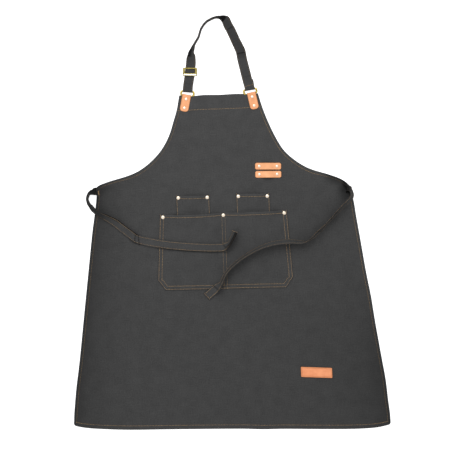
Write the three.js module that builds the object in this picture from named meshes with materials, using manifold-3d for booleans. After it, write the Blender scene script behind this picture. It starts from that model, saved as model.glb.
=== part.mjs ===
import * as THREE from "three";
import { mergeVertices } from "three/addons/utils/BufferGeometryUtils.js";
import Module from "manifold-3d";

// Canvas bib apron laid flat with its straps brought over the front. Millimetres, +Z up, +Y to the neck.

// Cloth, leather and clearances
const CLOTH = 1.2;
const FOLD = 1.2;
const GAP = 0.3;
const LEATHER = 1.8;

// Apron panel, as cut and hemmed
const LENGTH = 868;
const HEM_HALF = 414;
const WAIST_HALF = 330;
const WAIST_HEIGHT = 628;
const BIB_HALF = 102.5;
const HEM = 10;
const BIB_HEM = 35;
const CORNER_RADIUS = 6;
const HEM_CORNER_RISE = 12;
const ARMHOLE_UPPER = { x: 155, y: 623 };
const ARMHOLE_LOWER = { x: 282, y: 682 };

// How the panel lies: the bib leans to the left and turns a little
const HEM_AT = -538;
const BIB_LEAN = 35.4;
const LEAN_POWER = 1.25;
const BIB_TURN = THREE.MathUtils.degToRad(4.8);
const TURN_REACH = 120;
const BIB_LIFT = 3.5;

// Where a strap tugs the cloth sideways or lifts it, in the panel's own cut
const TUGS = [
  { at: "left_bib_corner", x: -102, y: 868, across: 0, up: 4, lift: 0, reach: 26 },
  { at: "right_bib_corner", x: 84, y: 868, across: 0, up: -6, lift: 0, reach: 28 },
  { at: "left_waist_corner", x: -330, y: 628, across: 2, up: 0, lift: 4.2, reach: 42 },
  { at: "right_waist_corner", x: 330, y: 628, across: -4, up: 0, lift: 10, reach: 32 },
  { at: "right_armhole_end", x: 312, y: 646, across: 2, up: 3, lift: 0, reach: 24 },
];

// Pockets, in the panel's own cut
const PUFF_POWER = 2.5;
const MOUTH_HEM = 9;
const MOUTH_FOLD = 0.8;
const MAIN_POCKET = {
  name: "main_pocket", centre: -3.5, skew: 1.5, bottom: 365, top: 564, halfTop: 162.5, halfBottom: 175,
  chamferAcross: 19, chamferUp: 29, halves: 2, side: 12, middle: 8, puff: 8, rows: 9, columns: 7,
};
const SMALL_POCKET = {
  skew: 0, bottom: 558, top: 611, halfTop: 43.5, halfBottom: 43.5,
  chamferAcross: 0, chamferUp: 4, halves: 1, side: 11.5, middle: 0, puff: 7, rows: 5, columns: 9,
};
const SMALL_POCKETS = [
  { name: "small_pocket_left", centre: -80 },
  { name: "small_pocket_right", centre: 76 },
];

// Neck strap hardware
const WIRE = 3.2;
const RING_PLANE = 4.7;
const RING = { width: 37, height: 12.2, corner: 5 };
const RINGS = [
  { side: "left", x: -118, y: 335.5, turn: THREE.MathUtils.degToRad(-8) },
  { side: "right", x: 47.6, y: 342, turn: THREE.MathUtils.degToRad(11.5) },
];
const TAB = { width: 22.6, length: 41.5, endRound: 9, rivets: [8.5, 32] };
const SLIDER = {
  x: -109.5, y: 391.4, turn: THREE.MathUtils.degToRad(-2), width: 32.6, height: 18, corner: 3.2,
  wire: 3.4, plane: 9.6, barPlane: 3.6, bar: 2.4,
};

// Straps: width, thickness and the clearance kept above what they lie on
const STRAP = { width: 24, thick: 1.4, rise: 0.4 };
const TIE = { width: 22.5, thick: 1.6, rise: 0.8 };

// Neck strap from the left ring over the top to the right ring; lean lifts the left hand edge, in degrees
const NECK_PATH = [
  { x: -115.6, y: 353, z: 6.9, lean: 0 },
  { x: -112.4, y: 366, z: 6.3, lean: 0 },
  { x: -109.9, y: 382.4, z: 6.8, lean: 0 },
  { x: -109.5, y: 391.4, z: 7.6, lean: 0 },
  { x: -109.1, y: 400.4, z: 6.8, lean: 0 },
  { x: -107.8, y: 414, z: 3.2, lean: 6 },
  { x: -107.1, y: 428, lean: 24 },
  { x: -106.2, y: 440, lean: 44 },
  { x: -103.4, y: 452, lean: 66 },
  { x: -99, y: 463, lean: 80 },
  { x: -90.2, y: 480.9, lean: 86 },
  { x: -84.4, y: 500.4, lean: 86 },
  { x: -77.2, y: 511.8, lean: 86 },
  { x: -67.5, y: 522.6, lean: 86 },
  { x: -57.2, y: 528.4, lean: 85 },
  { x: -45, y: 533.2, lean: 84 },
  { x: -35, y: 534.6, lean: 80 },
  { x: -25.6, y: 532.6, lean: 58 },
  { x: -17.2, y: 527, lean: 26 },
  { x: -11.4, y: 517, lean: 6 },
  { x: -4, y: 503, lean: 0 },
  { x: 9.1, y: 474.4, lean: 0 },
  { x: 18.6, y: 450, lean: 0 },
  { x: 26.4, y: 424, lean: 0 },
  { x: 33, y: 396, z: 2.2, lean: 0 },
  { x: 40.4, y: 369, z: 3.7, lean: 0 },
  { x: 43.7, y: 358, z: 5.2, lean: 0 },
];

// Waist ties from the waist corner to the loose end
const LEFT_TIE_PATH = [
  { x: -359, y: 77.5, z: 3.2, lean: -10 },
  { x: -367.5, y: 75.6, z: 11, lean: -58 },
  { x: -375.8, y: 64.5, lean: -80 },
  { x: -372, y: 48.5, lean: -80 },
  { x: -360.4, y: 33.5, lean: -74 },
  { x: -343.7, y: 20.9, lean: -60 },
  { x: -325.5, y: 10.5, lean: -44 },
  { x: -307, y: -0.4, lean: -20 },
  { x: -289, y: -12, lean: -4 },
  { x: -268.3, y: -28, lean: 0 },
  { x: -248.8, y: -42, lean: 0 },
  { x: -221.5, y: -50, lean: 0 },
  { x: -187.7, y: -56, lean: 0 },
  { x: -160, y: -59.6, lean: 0 },
  { x: -135.7, y: -61.8, lean: 0 },
  { x: -109, y: -64, lean: 0 },
  { x: -83.7, y: -65.4, lean: 0 },
  { x: -60, y: -66.4, lean: 0 },
  { x: -40, y: -66, lean: -6 },
  { x: -23, y: -60.5, lean: -26 },
  { x: -10.5, y: -50, lean: -46 },
  { x: 0.5, y: -36.5, lean: -50 },
  { x: 8.6, y: -24.5, lean: -48 },
];
const RIGHT_TIE_PATH = [
  { x: 306, y: 79.5, z: 2.8, lean: 6 },
  { x: 312.2, y: 77, z: 11.6, lean: 70 },
  { x: 313.8, y: 68, z: 18.5, lean: 78 },
  { x: 310, y: 58, lean: 75 },
  { x: 301, y: 48.5, lean: 68 },
  { x: 288, y: 38.5, lean: 66 },
  { x: 269.9, y: 22, lean: 66 },
  { x: 243.9, y: -4, lean: 66 },
  { x: 220, y: -27.5, lean: 64 },
  { x: 203, y: -43, lean: 58 },
  { x: 191, y: -49.6, lean: 54 },
  { x: 176, y: -50.5, lean: 62 },
  { x: 155, y: -49.6, lean: 66 },
  { x: 130, y: -50.6, lean: 68 },
  { x: 103.5, y: -55, lean: 70 },
  { x: 74.9, y: -65, lean: 74 },
  { x: 46.3, y: -79.5, lean: 77 },
  { x: 20, y: -98, lean: 79 },
  { x: -3, y: -117.5, lean: 80 },
  { x: -17, y: -134, lean: 76 },
  { x: -26, y: -149, lean: 52 },
  { x: -35, y: -163.5, lean: 20 },
  { x: -48, y: -177.5, lean: 3 },
  { x: -66.3, y: -192, lean: 0 },
];

// Leather pieces sewn or riveted flat on the front
const LOOP = { length: 68, width: 19, corner: 4.5, bow: 7, bowHalf: 17.6, rivet: 23 };
const LOOPS = [
  { name: "tool_loop_upper", x: 93.3, y: 146.8, turn: 0 },
  { name: "tool_loop_lower", x: 93.8, y: 125.2, turn: THREE.MathUtils.degToRad(0.5) },
];
const PATCH = {
  x: 219.4, y: -389.8, turn: THREE.MathUtils.degToRad(-2.3), length: 82.5, width: 27, corner: 2,
};

// Rivets: cap and back cap radii, dome height and shank
const POCKET_RIVET = { cap: 4.6, dome: 1.9, back: 4, shank: 1.5 };
const LEATHER_RIVET = { cap: 3.7, dome: 1.6, back: 3.7, shank: 1.3 };
const BACK_CAP = 0.7;
const CAP_RIM = 0.5;

// Colours, with roughness and metalness
const CANVAS = new THREE.MeshStandardMaterial({ color: 0x444444, roughness: 0.92, metalness: 0 });
const TAN = new THREE.MeshStandardMaterial({ color: 0xf0a874, roughness: 0.62, metalness: 0 });
const BRASS = new THREE.MeshStandardMaterial({ color: 0xc8b050, roughness: 0.28, metalness: 1 });
const PALE_METAL = new THREE.MeshStandardMaterial({ color: 0xf3e9d6, roughness: 0.25, metalness: 1 });

const PANEL_THICK = FOLD + CLOTH;
const UP = new THREE.Vector3(0, 0, 1);
const wasm = await Module();
wasm.setup();

const group = new THREE.Group();
group.name = "canvas_bib_apron";

// Smooth step from 0 at a to 1 at b
function smooth(a, b, value) {
  return THREE.MathUtils.smoothstep(value, a, b);
}

// Closed solid for cutting and joining
function solid(geometry) {
  const bare = geometry.clone();
  bare.deleteAttribute("normal");
  bare.deleteAttribute("uv");
  const merged = mergeVertices(bare, 1e-4);
  return new wasm.Manifold(new wasm.Mesh({
    numProp: 3,
    vertProperties: new Float32Array(merged.attributes.position.array),
    triVerts: new Uint32Array(merged.index.array),
  }));
}

function geometryOf(manifold) {
  const mesh = manifold.getMesh();
  const geometry = new THREE.BufferGeometry();
  geometry.setAttribute("position", new THREE.BufferAttribute(new Float32Array(mesh.vertProperties), 3));
  geometry.setIndex(new THREE.BufferAttribute(new Uint32Array(mesh.triVerts), 1));
  return geometry;
}

function addPiece(name, geometry, material) {
  geometry.computeVertexNormals();
  const piece = new THREE.Mesh(geometry, material);
  piece.name = name;
  group.add(piece);
}

// Closed slab between two matching grids of points; columns run to the right, rows run forward
function slab(top, bottom) {
  const rows = top.length;
  const columns = top[0].length;
  const points = [...top.flat(), ...bottom.flat()];
  const faces = [];
  const upper = (r, c) => r * columns + c;
  const lower = (r, c) => rows * columns + r * columns + c;
  const quad = (a, b, c, d) => faces.push(a, b, c, a, c, d);
  for (let r = 0; r < rows - 1; r += 1) {
    for (let c = 0; c < columns - 1; c += 1) {
      quad(upper(r, c), upper(r, c + 1), upper(r + 1, c + 1), upper(r + 1, c));
      quad(lower(r, c), lower(r + 1, c), lower(r + 1, c + 1), lower(r, c + 1));
    }
    const last = columns - 1;
    quad(upper(r, 0), upper(r + 1, 0), lower(r + 1, 0), lower(r, 0));
    quad(upper(r + 1, last), upper(r, last), lower(r, last), lower(r + 1, last));
  }
  for (let c = 0; c < columns - 1; c += 1) {
    const last = rows - 1;
    quad(upper(0, c + 1), upper(0, c), lower(0, c), lower(0, c + 1));
    quad(upper(last, c), upper(last, c + 1), lower(last, c + 1), lower(last, c));
  }
  const geometry = new THREE.BufferGeometry();
  geometry.setAttribute("position", new THREE.Float32BufferAttribute(points.flatMap((p) => p.toArray()), 3));
  geometry.setIndex(faces);
  return geometry;
}

// Upright round holes with clearance for the rivet shanks
function drilled(geometry, holes) {
  let body = solid(geometry);
  for (const hole of holes) {
    const cutter = new THREE.CylinderGeometry(hole.radius, hole.radius, 40, 10);
    cutter.rotateX(Math.PI / 2);
    cutter.translate(hole.x, hole.y, 0);
    body = body.subtract(solid(cutter));
  }
  return geometryOf(body);
}

// Half width of the cut panel at a height above the hem
const armhole = new THREE.CubicBezierCurve(
  new THREE.Vector2(BIB_HALF, LENGTH),
  new THREE.Vector2(ARMHOLE_UPPER.x, ARMHOLE_UPPER.y),
  new THREE.Vector2(ARMHOLE_LOWER.x, ARMHOLE_LOWER.y),
  new THREE.Vector2(WAIST_HALF, WAIST_HEIGHT),
);

function halfWidth(y) {
  if (y <= WAIST_HEIGHT) {
    const side = HEM_HALF + ((WAIST_HALF - HEM_HALF) * y) / WAIST_HEIGHT;
    const short = Math.max(CORNER_RADIUS - y, 0);
    return side - CORNER_RADIUS + Math.sqrt(CORNER_RADIUS ** 2 - short ** 2);
  }
  let high = 0;
  let low = 1;
  for (let i = 0; i < 40; i += 1) {
    const middle = (high + low) / 2;
    if (armhole.getPoint(middle).y > y) high = middle;
    else low = middle;
  }
  return armhole.getPoint(high).x;
}

// Place of a point of the cut panel as it lies, and how far it is lifted off the floor
function lie(x, y) {
  const t = y / LENGTH;
  const share = Math.min(Math.abs(x) / HEM_HALF, 1);
  const place = {
    x: x - BIB_LEAN * t ** LEAN_POWER,
    y: HEM_AT + y + TURN_REACH * Math.tanh(x / TURN_REACH) * Math.tan(BIB_TURN * t * t),
    lift: BIB_LIFT * smooth(LENGTH - 95, LENGTH - 50, y),
  };
  place.y += HEM_CORNER_RISE * share ** 9 * (1 - smooth(0, 120, y));
  for (const tug of TUGS) {
    const strength = Math.exp(-((x - tug.x) ** 2 + (y - tug.y) ** 2) / tug.reach ** 2);
    place.x += tug.across * strength;
    place.y += tug.up * strength;
    place.lift += tug.lift * strength;
  }
  return place;
}

// Point of the cut panel found from where it lies
function cutPoint(x, y) {
  let cut = { x, y: y - HEM_AT };
  for (let i = 0; i < 6; i += 1) {
    const place = lie(cut.x, cut.y);
    cut = { x: cut.x + x - place.x, y: cut.y + y - place.y };
  }
  return cut;
}

function pointAt(x, y, height) {
  const place = lie(x, y);
  return new THREE.Vector3(place.x, place.y, place.lift + height);
}

// Evenly spaced values from a to b, both included
function spaced(a, b, count) {
  return Array.from({ length: count }, (_, i) => a + ((b - a) * i) / (count - 1));
}

// Half width of a pocket and how far its front stands off the panel
function pocketHalf(pocket, y) {
  const up = (y - pocket.bottom) / (pocket.top - pocket.bottom);
  const cut = Math.max(1 - (y - pocket.bottom) / pocket.chamferUp, 0);
  return pocket.halfBottom + (pocket.halfTop - pocket.halfBottom) * up - pocket.chamferAcross * cut;
}

function pocketCentre(pocket, y) {
  return pocket.centre + pocket.skew * ((y - pocket.bottom) / (pocket.top - pocket.bottom) - 0.5);
}

function pocketPuff(pocket, x, y) {
  const outer = pocketHalf(pocket, y) - pocket.side;
  const inner = pocket.halves === 2 ? pocket.middle : -outer;
  const place = pocket.halves === 2 ? Math.abs(x) : x;
  const share = Math.min(Math.abs((2 * place - inner - outer) / (outer - inner)), 1);
  const depth = Math.min((pocket.top - y) / (pocket.top - pocket.bottom - pocket.side), 1);
  return pocket.puff * (1 - share ** PUFF_POWER) * (1 - depth * depth);
}

// Top of whatever cloth lies at a place, zero on the bare floor
function clothTop(x, y) {
  const cut = cutPoint(x, y);
  if (cut.y < 0 || cut.y > LENGTH || Math.abs(cut.x) > halfWidth(cut.y)) return 0;
  let top = lie(cut.x, cut.y).lift + PANEL_THICK;
  const across = cut.x - pocketCentre(MAIN_POCKET, cut.y);
  const inside = cut.y > MAIN_POCKET.bottom - 1 && cut.y < MAIN_POCKET.top + 1;
  if (inside && Math.abs(across) < pocketHalf(MAIN_POCKET, cut.y) + 1) {
    top += GAP + CLOTH + pocketPuff(MAIN_POCKET, across, cut.y);
  }
  return top;
}

// Apron panel with its turned hems
function panelGeometry() {
  const heights = [
    0, 3, HEM, HEM + 0.6, ...spaced(40, 570, 8), ...spaced(590, WAIST_HEIGHT, 4),
    ...spaced(0.05, 0.85, 12).map((b) => armhole.getPoint(1 - b).y),
    LENGTH - BIB_HEM - 0.6, LENGTH - BIB_HEM, ...spaced(LENGTH - 22, LENGTH, 3),
  ].sort((a, b) => a - b);
  const top = [];
  const bottom = [];
  for (const y of heights) {
    const half = halfWidth(y);
    const flare = halfWidth(y + 0.5) - halfWidth(Math.max(y - 0.5, 0));
    const inset = Math.min(HEM * Math.hypot(1, flare), 0.3 * half);
    const inner = half - inset - 0.6;
    const across = [-half, -half + inset, ...spaced(-inner, inner, 16), half - inset, half];
    const turned = y <= HEM || y >= LENGTH - BIB_HEM;
    top.push(across.map((x) => pointAt(x, y, PANEL_THICK)));
    bottom.push(across.map((x) => pointAt(x, y, turned || Math.abs(x) >= half - inset - 0.01 ? 0 : FOLD)));
  }
  return slab(top, bottom);
}

// Patch pocket, sewn flat at its edges and standing a little open at its mouth
function pocketGeometry(pocket) {
  const { bottom: low, top: high, chamferUp, rows: count } = pocket;
  const heights = [low, ...spaced(low + chamferUp, high - MOUTH_HEM - 0.6, count), high - MOUTH_HEM, high];
  const top = [];
  const bottom = [];
  for (const y of heights) {
    const half = pocketHalf(pocket, y);
    const outer = half - pocket.side;
    const bow = pocket.halves === 2
      ? [...spaced(-outer, -pocket.middle, pocket.columns), ...spaced(pocket.middle, outer, pocket.columns)]
      : spaced(-outer, outer, pocket.columns);
    const across = [-half, ...bow, half];
    const thick = CLOTH + (y >= high - MOUTH_HEM ? MOUTH_FOLD : 0);
    const height = (x) => PANEL_THICK + GAP + pocketPuff(pocket, x, y);
    bottom.push(across.map((x) => pointAt(pocketCentre(pocket, y) + x, y, height(x))));
    top.push(across.map((x) => pointAt(pocketCentre(pocket, y) + x, y, height(x) + thick)));
  }
  return slab(top, bottom);
}

// Ribbon swept through stations that give its centre and the direction across it, left to right
function ribbon(stations, strap) {
  const curve = new THREE.CatmullRomCurve3(stations.map((s) => s.point), false, "centripetal");
  const spans = stations.length - 1;
  const shares = [];
  for (let i = 0; i < spans; i += 1) {
    const reach = stations[i].point.distanceTo(stations[i + 1].point);
    const steps = THREE.MathUtils.clamp(Math.round(reach / 9), 1, 4);
    for (let k = 0; k < steps; k += 1) shares.push((i + k / steps) / spans);
  }
  shares.push(1);
  const top = [];
  const bottom = [];
  for (const share of shares) {
    const centre = curve.getPoint(share);
    const before = curve.getPoint(Math.max(share - 1e-4, 0));
    const forward = curve.getPoint(Math.min(share + 1e-4, 1)).sub(before).normalize();
    const index = Math.min(Math.floor(share * spans + 1e-9), spans - 1);
    const across = stations[index].across.clone().lerp(stations[index + 1].across, share * spans - index);
    across.addScaledVector(forward, -across.dot(forward)).normalize();
    const out = new THREE.Vector3().crossVectors(across, forward).multiplyScalar(strap.thick / 2);
    const left = centre.clone().addScaledVector(across, -strap.width / 2);
    const right = centre.clone().addScaledVector(across, strap.width / 2);
    top.push([left.clone().add(out), right.clone().add(out)]);
    bottom.push([left.clone().sub(out), right.clone().sub(out)]);
  }
  return slab(top, bottom);
}

// Stations of a laid strap: rows without a height rest on the cloth or floor under them
function laidStations(rows, strap) {
  return rows.map((row, i) => {
    const ahead = rows[Math.min(i + 1, rows.length - 1)];
    const behind = rows[Math.max(i - 1, 0)];
    const heading = new THREE.Vector3(ahead.x - behind.x, ahead.y - behind.y, 0).normalize();
    const side = new THREE.Vector3().crossVectors(heading, UP);
    const lean = THREE.MathUtils.degToRad(row.lean);
    const across = side.clone().multiplyScalar(Math.cos(lean)).addScaledVector(UP, -Math.sin(lean));
    const point = new THREE.Vector3(row.x, row.y, row.z ?? 0);
    if (row.z === undefined) {
      const reach = (strap.width / 2) * Math.cos(lean) + 3;
      const marks = [-1, -0.5, 0, 0.5, 1].flatMap((a) => [-5, 0, 5].map((f) => ({ a: a * reach, f })));
      const bed = Math.max(...marks.map((m) => clothTop(
        row.x + side.x * m.a + heading.x * m.f,
        row.y + side.y * m.a + heading.y * m.f,
      )));
      const half = (strap.width / 2) * Math.abs(Math.sin(lean)) + (strap.thick / 2) * Math.cos(lean);
      point.z = bed + strap.rise + half;
    }
    return { point, across };
  });
}

// Directions of a turned fitting: along its bars and up through it
function axes(turn) {
  return {
    along: new THREE.Vector3(Math.cos(turn), Math.sin(turn), 0),
    up: new THREE.Vector3(-Math.sin(turn), Math.cos(turn), 0),
  };
}

// Stations of a strap wrapped round a bar, by angles from straight up toward the top of the fitting
function wrapStations(bar, radius, from, to, count) {
  return spaced(from, to, count).map((degrees) => {
    const angle = THREE.MathUtils.degToRad(degrees);
    const point = bar.centre.clone().addScaledVector(bar.up, radius * Math.sin(angle));
    point.z += radius * Math.cos(angle);
    return { point, across: bar.across };
  });
}

// Station of a strap layer behind a bar, a distance up from it
function layerStation(bar, distance, z) {
  const point = bar.centre.clone().addScaledVector(bar.up, distance);
  point.z = z;
  return { point, across: bar.across };
}

// Closed loop of round wire in a flat rounded rectangle
function wireLoop(x, y, z, turn, shape, wire) {
  const { along, up } = axes(turn);
  const quarter = 4;
  const sides = 10;
  const points = [];
  for (let corner = 0; corner < 4; corner += 1) {
    const middle = {
      x: (corner === 0 || corner === 3 ? 1 : -1) * (shape.width / 2 - shape.corner),
      y: (corner < 2 ? 1 : -1) * (shape.height / 2 - shape.corner),
    };
    for (let k = 0; k <= quarter; k += 1) {
      const around = ((corner + k / quarter) * Math.PI) / 2;
      const out = along.clone().multiplyScalar(Math.cos(around)).addScaledVector(up, Math.sin(around));
      const core = new THREE.Vector3(x, y, z).addScaledVector(along, middle.x).addScaledVector(up, middle.y);
      core.addScaledVector(out, shape.corner);
      for (let j = 0; j < sides; j += 1) {
        const roll = (j / sides) * Math.PI * 2;
        const skin = core.clone().addScaledVector(out, (wire / 2) * Math.cos(roll));
        points.push(skin.addScaledVector(UP, (wire / 2) * Math.sin(roll)));
      }
    }
  }
  const rings = points.length / sides;
  const faces = [];
  for (let i = 0; i < rings; i += 1) {
    for (let j = 0; j < sides; j += 1) {
      const next = (i + 1) % rings;
      const turnOn = (j + 1) % sides;
      const a = i * sides + j;
      const b = next * sides + j;
      const c = next * sides + turnOn;
      const d = i * sides + turnOn;
      faces.push(a, b, c, a, c, d);
    }
  }
  const geometry = new THREE.BufferGeometry();
  geometry.setAttribute("position", new THREE.Float32BufferAttribute(points.flatMap((p) => p.toArray()), 3));
  geometry.setIndex(faces);
  return geometry;
}

// Half width at a distance from a rounded end
function roundedHalf(half, corner, fromEnd) {
  const short = Math.max(corner - fromEnd, 0);
  return half - corner + Math.sqrt(Math.max(corner ** 2 - short ** 2, 0));
}

// Flat leather strip with rounded corners, its middle bowed up
function stripGeometry(strip, place, seat, bow) {
  const { along, up } = axes(place.turn);
  const half = strip.length / 2;
  const ends = [0, 0.15, 0.5, 1].map((share) => share * strip.corner);
  const stops = [
    ...ends.map((d) => d - half),
    ...(bow ? spaced(-bow.half, bow.half, 13) : spaced(-half / 2, half / 2, 3)),
    ...ends.map((d) => half - d).reverse(),
  ];
  const top = [];
  const bottom = [];
  for (const stop of stops) {
    const wide = roundedHalf(strip.width / 2, strip.corner, half - Math.abs(stop));
    const share = bow ? Math.min(Math.abs(stop) / bow.half, 1) : 1;
    const rise = bow ? bow.height * (1 - share * share) ** 1.5 : 0;
    const row = [wide, 0, -wide].map((side) => {
      const point = new THREE.Vector3(place.x, place.y, seat + rise);
      return point.addScaledVector(along, stop).addScaledVector(up, side);
    });
    bottom.push(row);
    top.push(row.map((point) => point.clone().addScaledVector(UP, LEATHER)));
  }
  return slab(top, bottom);
}

// Leather tab folded round a ring bar, its two legs either side of the bib
function tabGeometry(bar, turn) {
  const { along, up } = axes(turn);
  const wrap = WIRE / 2 + GAP + LEATHER / 2;
  const clamp = PANEL_THICK / 2 + GAP + LEATHER / 2;
  const drops = [...[0.06, 0.3, 0.65, 1].map((s) => TAB.length - s * TAB.endRound), 26, 18, 10, 6, 3];
  const legs = drops.map((drop) => {
    const end = Math.max(TAB.endRound - (TAB.length - drop), 0) / TAB.endRound;
    return {
      drop, half: (TAB.width / 2) * Math.sqrt(1 - end * end),
      stand: clamp + (wrap - clamp) * (1 - smooth(2, 9, drop)),
    };
  });
  const turnover = spaced(0, 180, 9).map((degrees) => {
    const angle = THREE.MathUtils.degToRad(degrees);
    return { drop: -wrap * Math.sin(angle), rise: wrap * Math.cos(angle), angle, half: TAB.width / 2 };
  });
  const path = [
    ...legs.map((leg) => ({ drop: leg.drop, rise: leg.stand, angle: 0, half: leg.half })),
    ...turnover,
    ...legs.reverse().map((leg) => ({ drop: leg.drop, rise: -leg.stand, angle: Math.PI, half: leg.half })),
  ];
  const top = [];
  const bottom = [];
  for (const step of path) {
    const centre = bar.clone().addScaledVector(up, -step.drop).addScaledVector(UP, step.rise);
    const out = UP.clone().multiplyScalar(Math.cos(step.angle)).addScaledVector(up, Math.sin(step.angle));
    out.multiplyScalar(LEATHER / 2);
    const row = [-step.half, 0, step.half].map((side) => centre.clone().addScaledVector(along, side));
    top.push(row.map((point) => point.clone().add(out)));
    bottom.push(row.map((point) => point.clone().sub(out)));
  }
  return slab(top, bottom);
}

// Domed rivet: cap, shank and back cap in one turned piece
function rivetGeometry(rivet, x, y, seat, under) {
  const low = under - GAP;
  const high = seat + GAP;
  const dome = spaced(0, 90, 3).map((degrees) => {
    const angle = THREE.MathUtils.degToRad(degrees);
    const height = high + CAP_RIM + (rivet.dome - CAP_RIM) * Math.sin(angle);
    return new THREE.Vector2(degrees === 90 ? 0 : rivet.cap * Math.cos(angle), height);
  });
  const profile = [
    new THREE.Vector2(0, low - BACK_CAP),
    new THREE.Vector2(rivet.back, low - BACK_CAP),
    new THREE.Vector2(rivet.back, low),
    new THREE.Vector2(rivet.shank, low),
    new THREE.Vector2(rivet.shank, high),
    new THREE.Vector2(rivet.cap, high),
    ...dome,
  ];
  const geometry = new THREE.LatheGeometry(profile, 10);
  geometry.rotateX(Math.PI / 2);
  geometry.translate(x, y, 0);
  return geometry;
}

// Rivets, listed first so that each layer can be drilled for them
const rivets = [];

function placeRivet(name, kind, x, y, seat, under, through) {
  rivets.push({ name, kind, x, y, seat, under, through });
}

function holesIn(piece) {
  const own = rivets.filter((rivet) => rivet.through.includes(piece));
  return own.map((rivet) => ({ x: rivet.x, y: rivet.y, radius: rivet.kind.shank + GAP }));
}

function pocketRivet(name, pocket, across, drop) {
  const place = lie(pocketCentre(pocket, pocket.top) + across, pocket.top - drop);
  const seat = place.lift + PANEL_THICK + GAP + CLOTH + MOUTH_FOLD;
  placeRivet(name, POCKET_RIVET, place.x, place.y, seat, place.lift + FOLD, ["apron_panel", pocket.name]);
}

const smallPockets = SMALL_POCKETS.map((pocket) => ({ ...SMALL_POCKET, ...pocket }));
pocketRivet("rivet_main_pocket_left", MAIN_POCKET, -157, 7);
pocketRivet("rivet_main_pocket_middle", MAIN_POCKET, 0, 7);
pocketRivet("rivet_main_pocket_right", MAIN_POCKET, 157, 7);
for (const pocket of smallPockets) {
  pocketRivet(`rivet_${pocket.name}_inner`, pocket, pocket.centre < 0 ? 37.5 : -37.5, 6);
  pocketRivet(`rivet_${pocket.name}_outer`, pocket, pocket.centre < 0 ? -37.5 : 37.5, 6);
}
for (const loop of LOOPS) {
  const { along } = axes(loop.turn);
  for (const [end, side] of [["left", -1], ["right", 1]]) {
    const x = loop.x + side * LOOP.rivet * along.x;
    const y = loop.y + side * LOOP.rivet * along.y;
    const seat = PANEL_THICK + GAP + LEATHER;
    placeRivet(`rivet_${loop.name}_${end}`, LEATHER_RIVET, x, y, seat, FOLD, ["apron_panel", loop.name]);
  }
}
const tabs = RINGS.map((ring) => {
  const { up } = axes(ring.turn);
  const bar = new THREE.Vector3(ring.x, ring.y, RING_PLANE).addScaledVector(up, -RING.height / 2);
  return { name: `strap_tab_${ring.side}`, bar, turn: ring.turn };
});
for (const tab of tabs) {
  const stand = PANEL_THICK / 2 + GAP + LEATHER;
  TAB.rivets.forEach((drop, i) => {
    const point = tab.bar.clone().addScaledVector(axes(tab.turn).up, -drop);
    const name = `rivet_${tab.name}_${i === 0 ? "upper" : "lower"}`;
    const through = ["apron_panel", tab.name];
    placeRivet(name, LEATHER_RIVET, point.x, point.y, RING_PLANE + stand, RING_PLANE - stand, through);
  });
}

// Apron panel and pockets
addPiece("apron_panel", drilled(panelGeometry(), holesIn("apron_panel")), CANVAS);
for (const pocket of [...smallPockets, MAIN_POCKET]) {
  addPiece(pocket.name, drilled(pocketGeometry(pocket), holesIn(pocket.name)), CANVAS);
}

// Tool loops and bare patch
for (const loop of LOOPS) {
  const bow = { height: LOOP.bow, half: LOOP.bowHalf };
  const strip = stripGeometry(LOOP, loop, PANEL_THICK + GAP, bow);
  addPiece(loop.name, drilled(strip, holesIn(loop.name)), TAN);
}
addPiece("leather_patch", stripGeometry(PATCH, PATCH, PANEL_THICK + GAP, null), TAN);

// Rings and the tabs that hold them
for (const ring of RINGS) {
  addPiece(`ring_${ring.side}`, wireLoop(ring.x, ring.y, RING_PLANE, ring.turn, RING, WIRE), BRASS);
}
for (const tab of tabs) {
  addPiece(tab.name, drilled(tabGeometry(tab.bar, tab.turn), holesIn(tab.name)), TAN);
}

// Slider with its middle bar set lower than its frame
function sliderGeometry() {
  const { along } = axes(SLIDER.turn);
  const frame = wireLoop(SLIDER.x, SLIDER.y, SLIDER.plane, SLIDER.turn, SLIDER, SLIDER.wire);
  const bar = new THREE.CylinderGeometry(SLIDER.bar / 2, SLIDER.bar / 2, SLIDER.width, 10);
  bar.rotateZ(Math.PI / 2 + SLIDER.turn);
  bar.translate(SLIDER.x, SLIDER.y, SLIDER.barPlane);
  let body = solid(frame).add(solid(bar));
  const drop = SLIDER.plane - SLIDER.barPlane + SLIDER.bar / 2;
  for (const side of [-1, 1]) {
    const leg = new THREE.CylinderGeometry(SLIDER.bar / 2, SLIDER.bar / 2, drop, 10);
    leg.rotateX(Math.PI / 2);
    const reach = (side * SLIDER.width) / 2;
    const middle = SLIDER.barPlane - SLIDER.bar / 2 + drop / 2;
    leg.translate(SLIDER.x + reach * along.x, SLIDER.y + reach * along.y, middle);
    body = body.add(solid(leg));
  }
  return geometryOf(body);
}
addPiece("strap_slider", sliderGeometry(), BRASS);

// Neck strap: round the slider bar, down behind, round the left ring, up the front, over to the right ring
function strapBar(fitting, z, offset, facing) {
  const { along, up } = axes(fitting.turn);
  const centre = new THREE.Vector3(fitting.x, fitting.y, z).addScaledVector(up, offset);
  return { centre, up, across: along.multiplyScalar(facing) };
}

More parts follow.
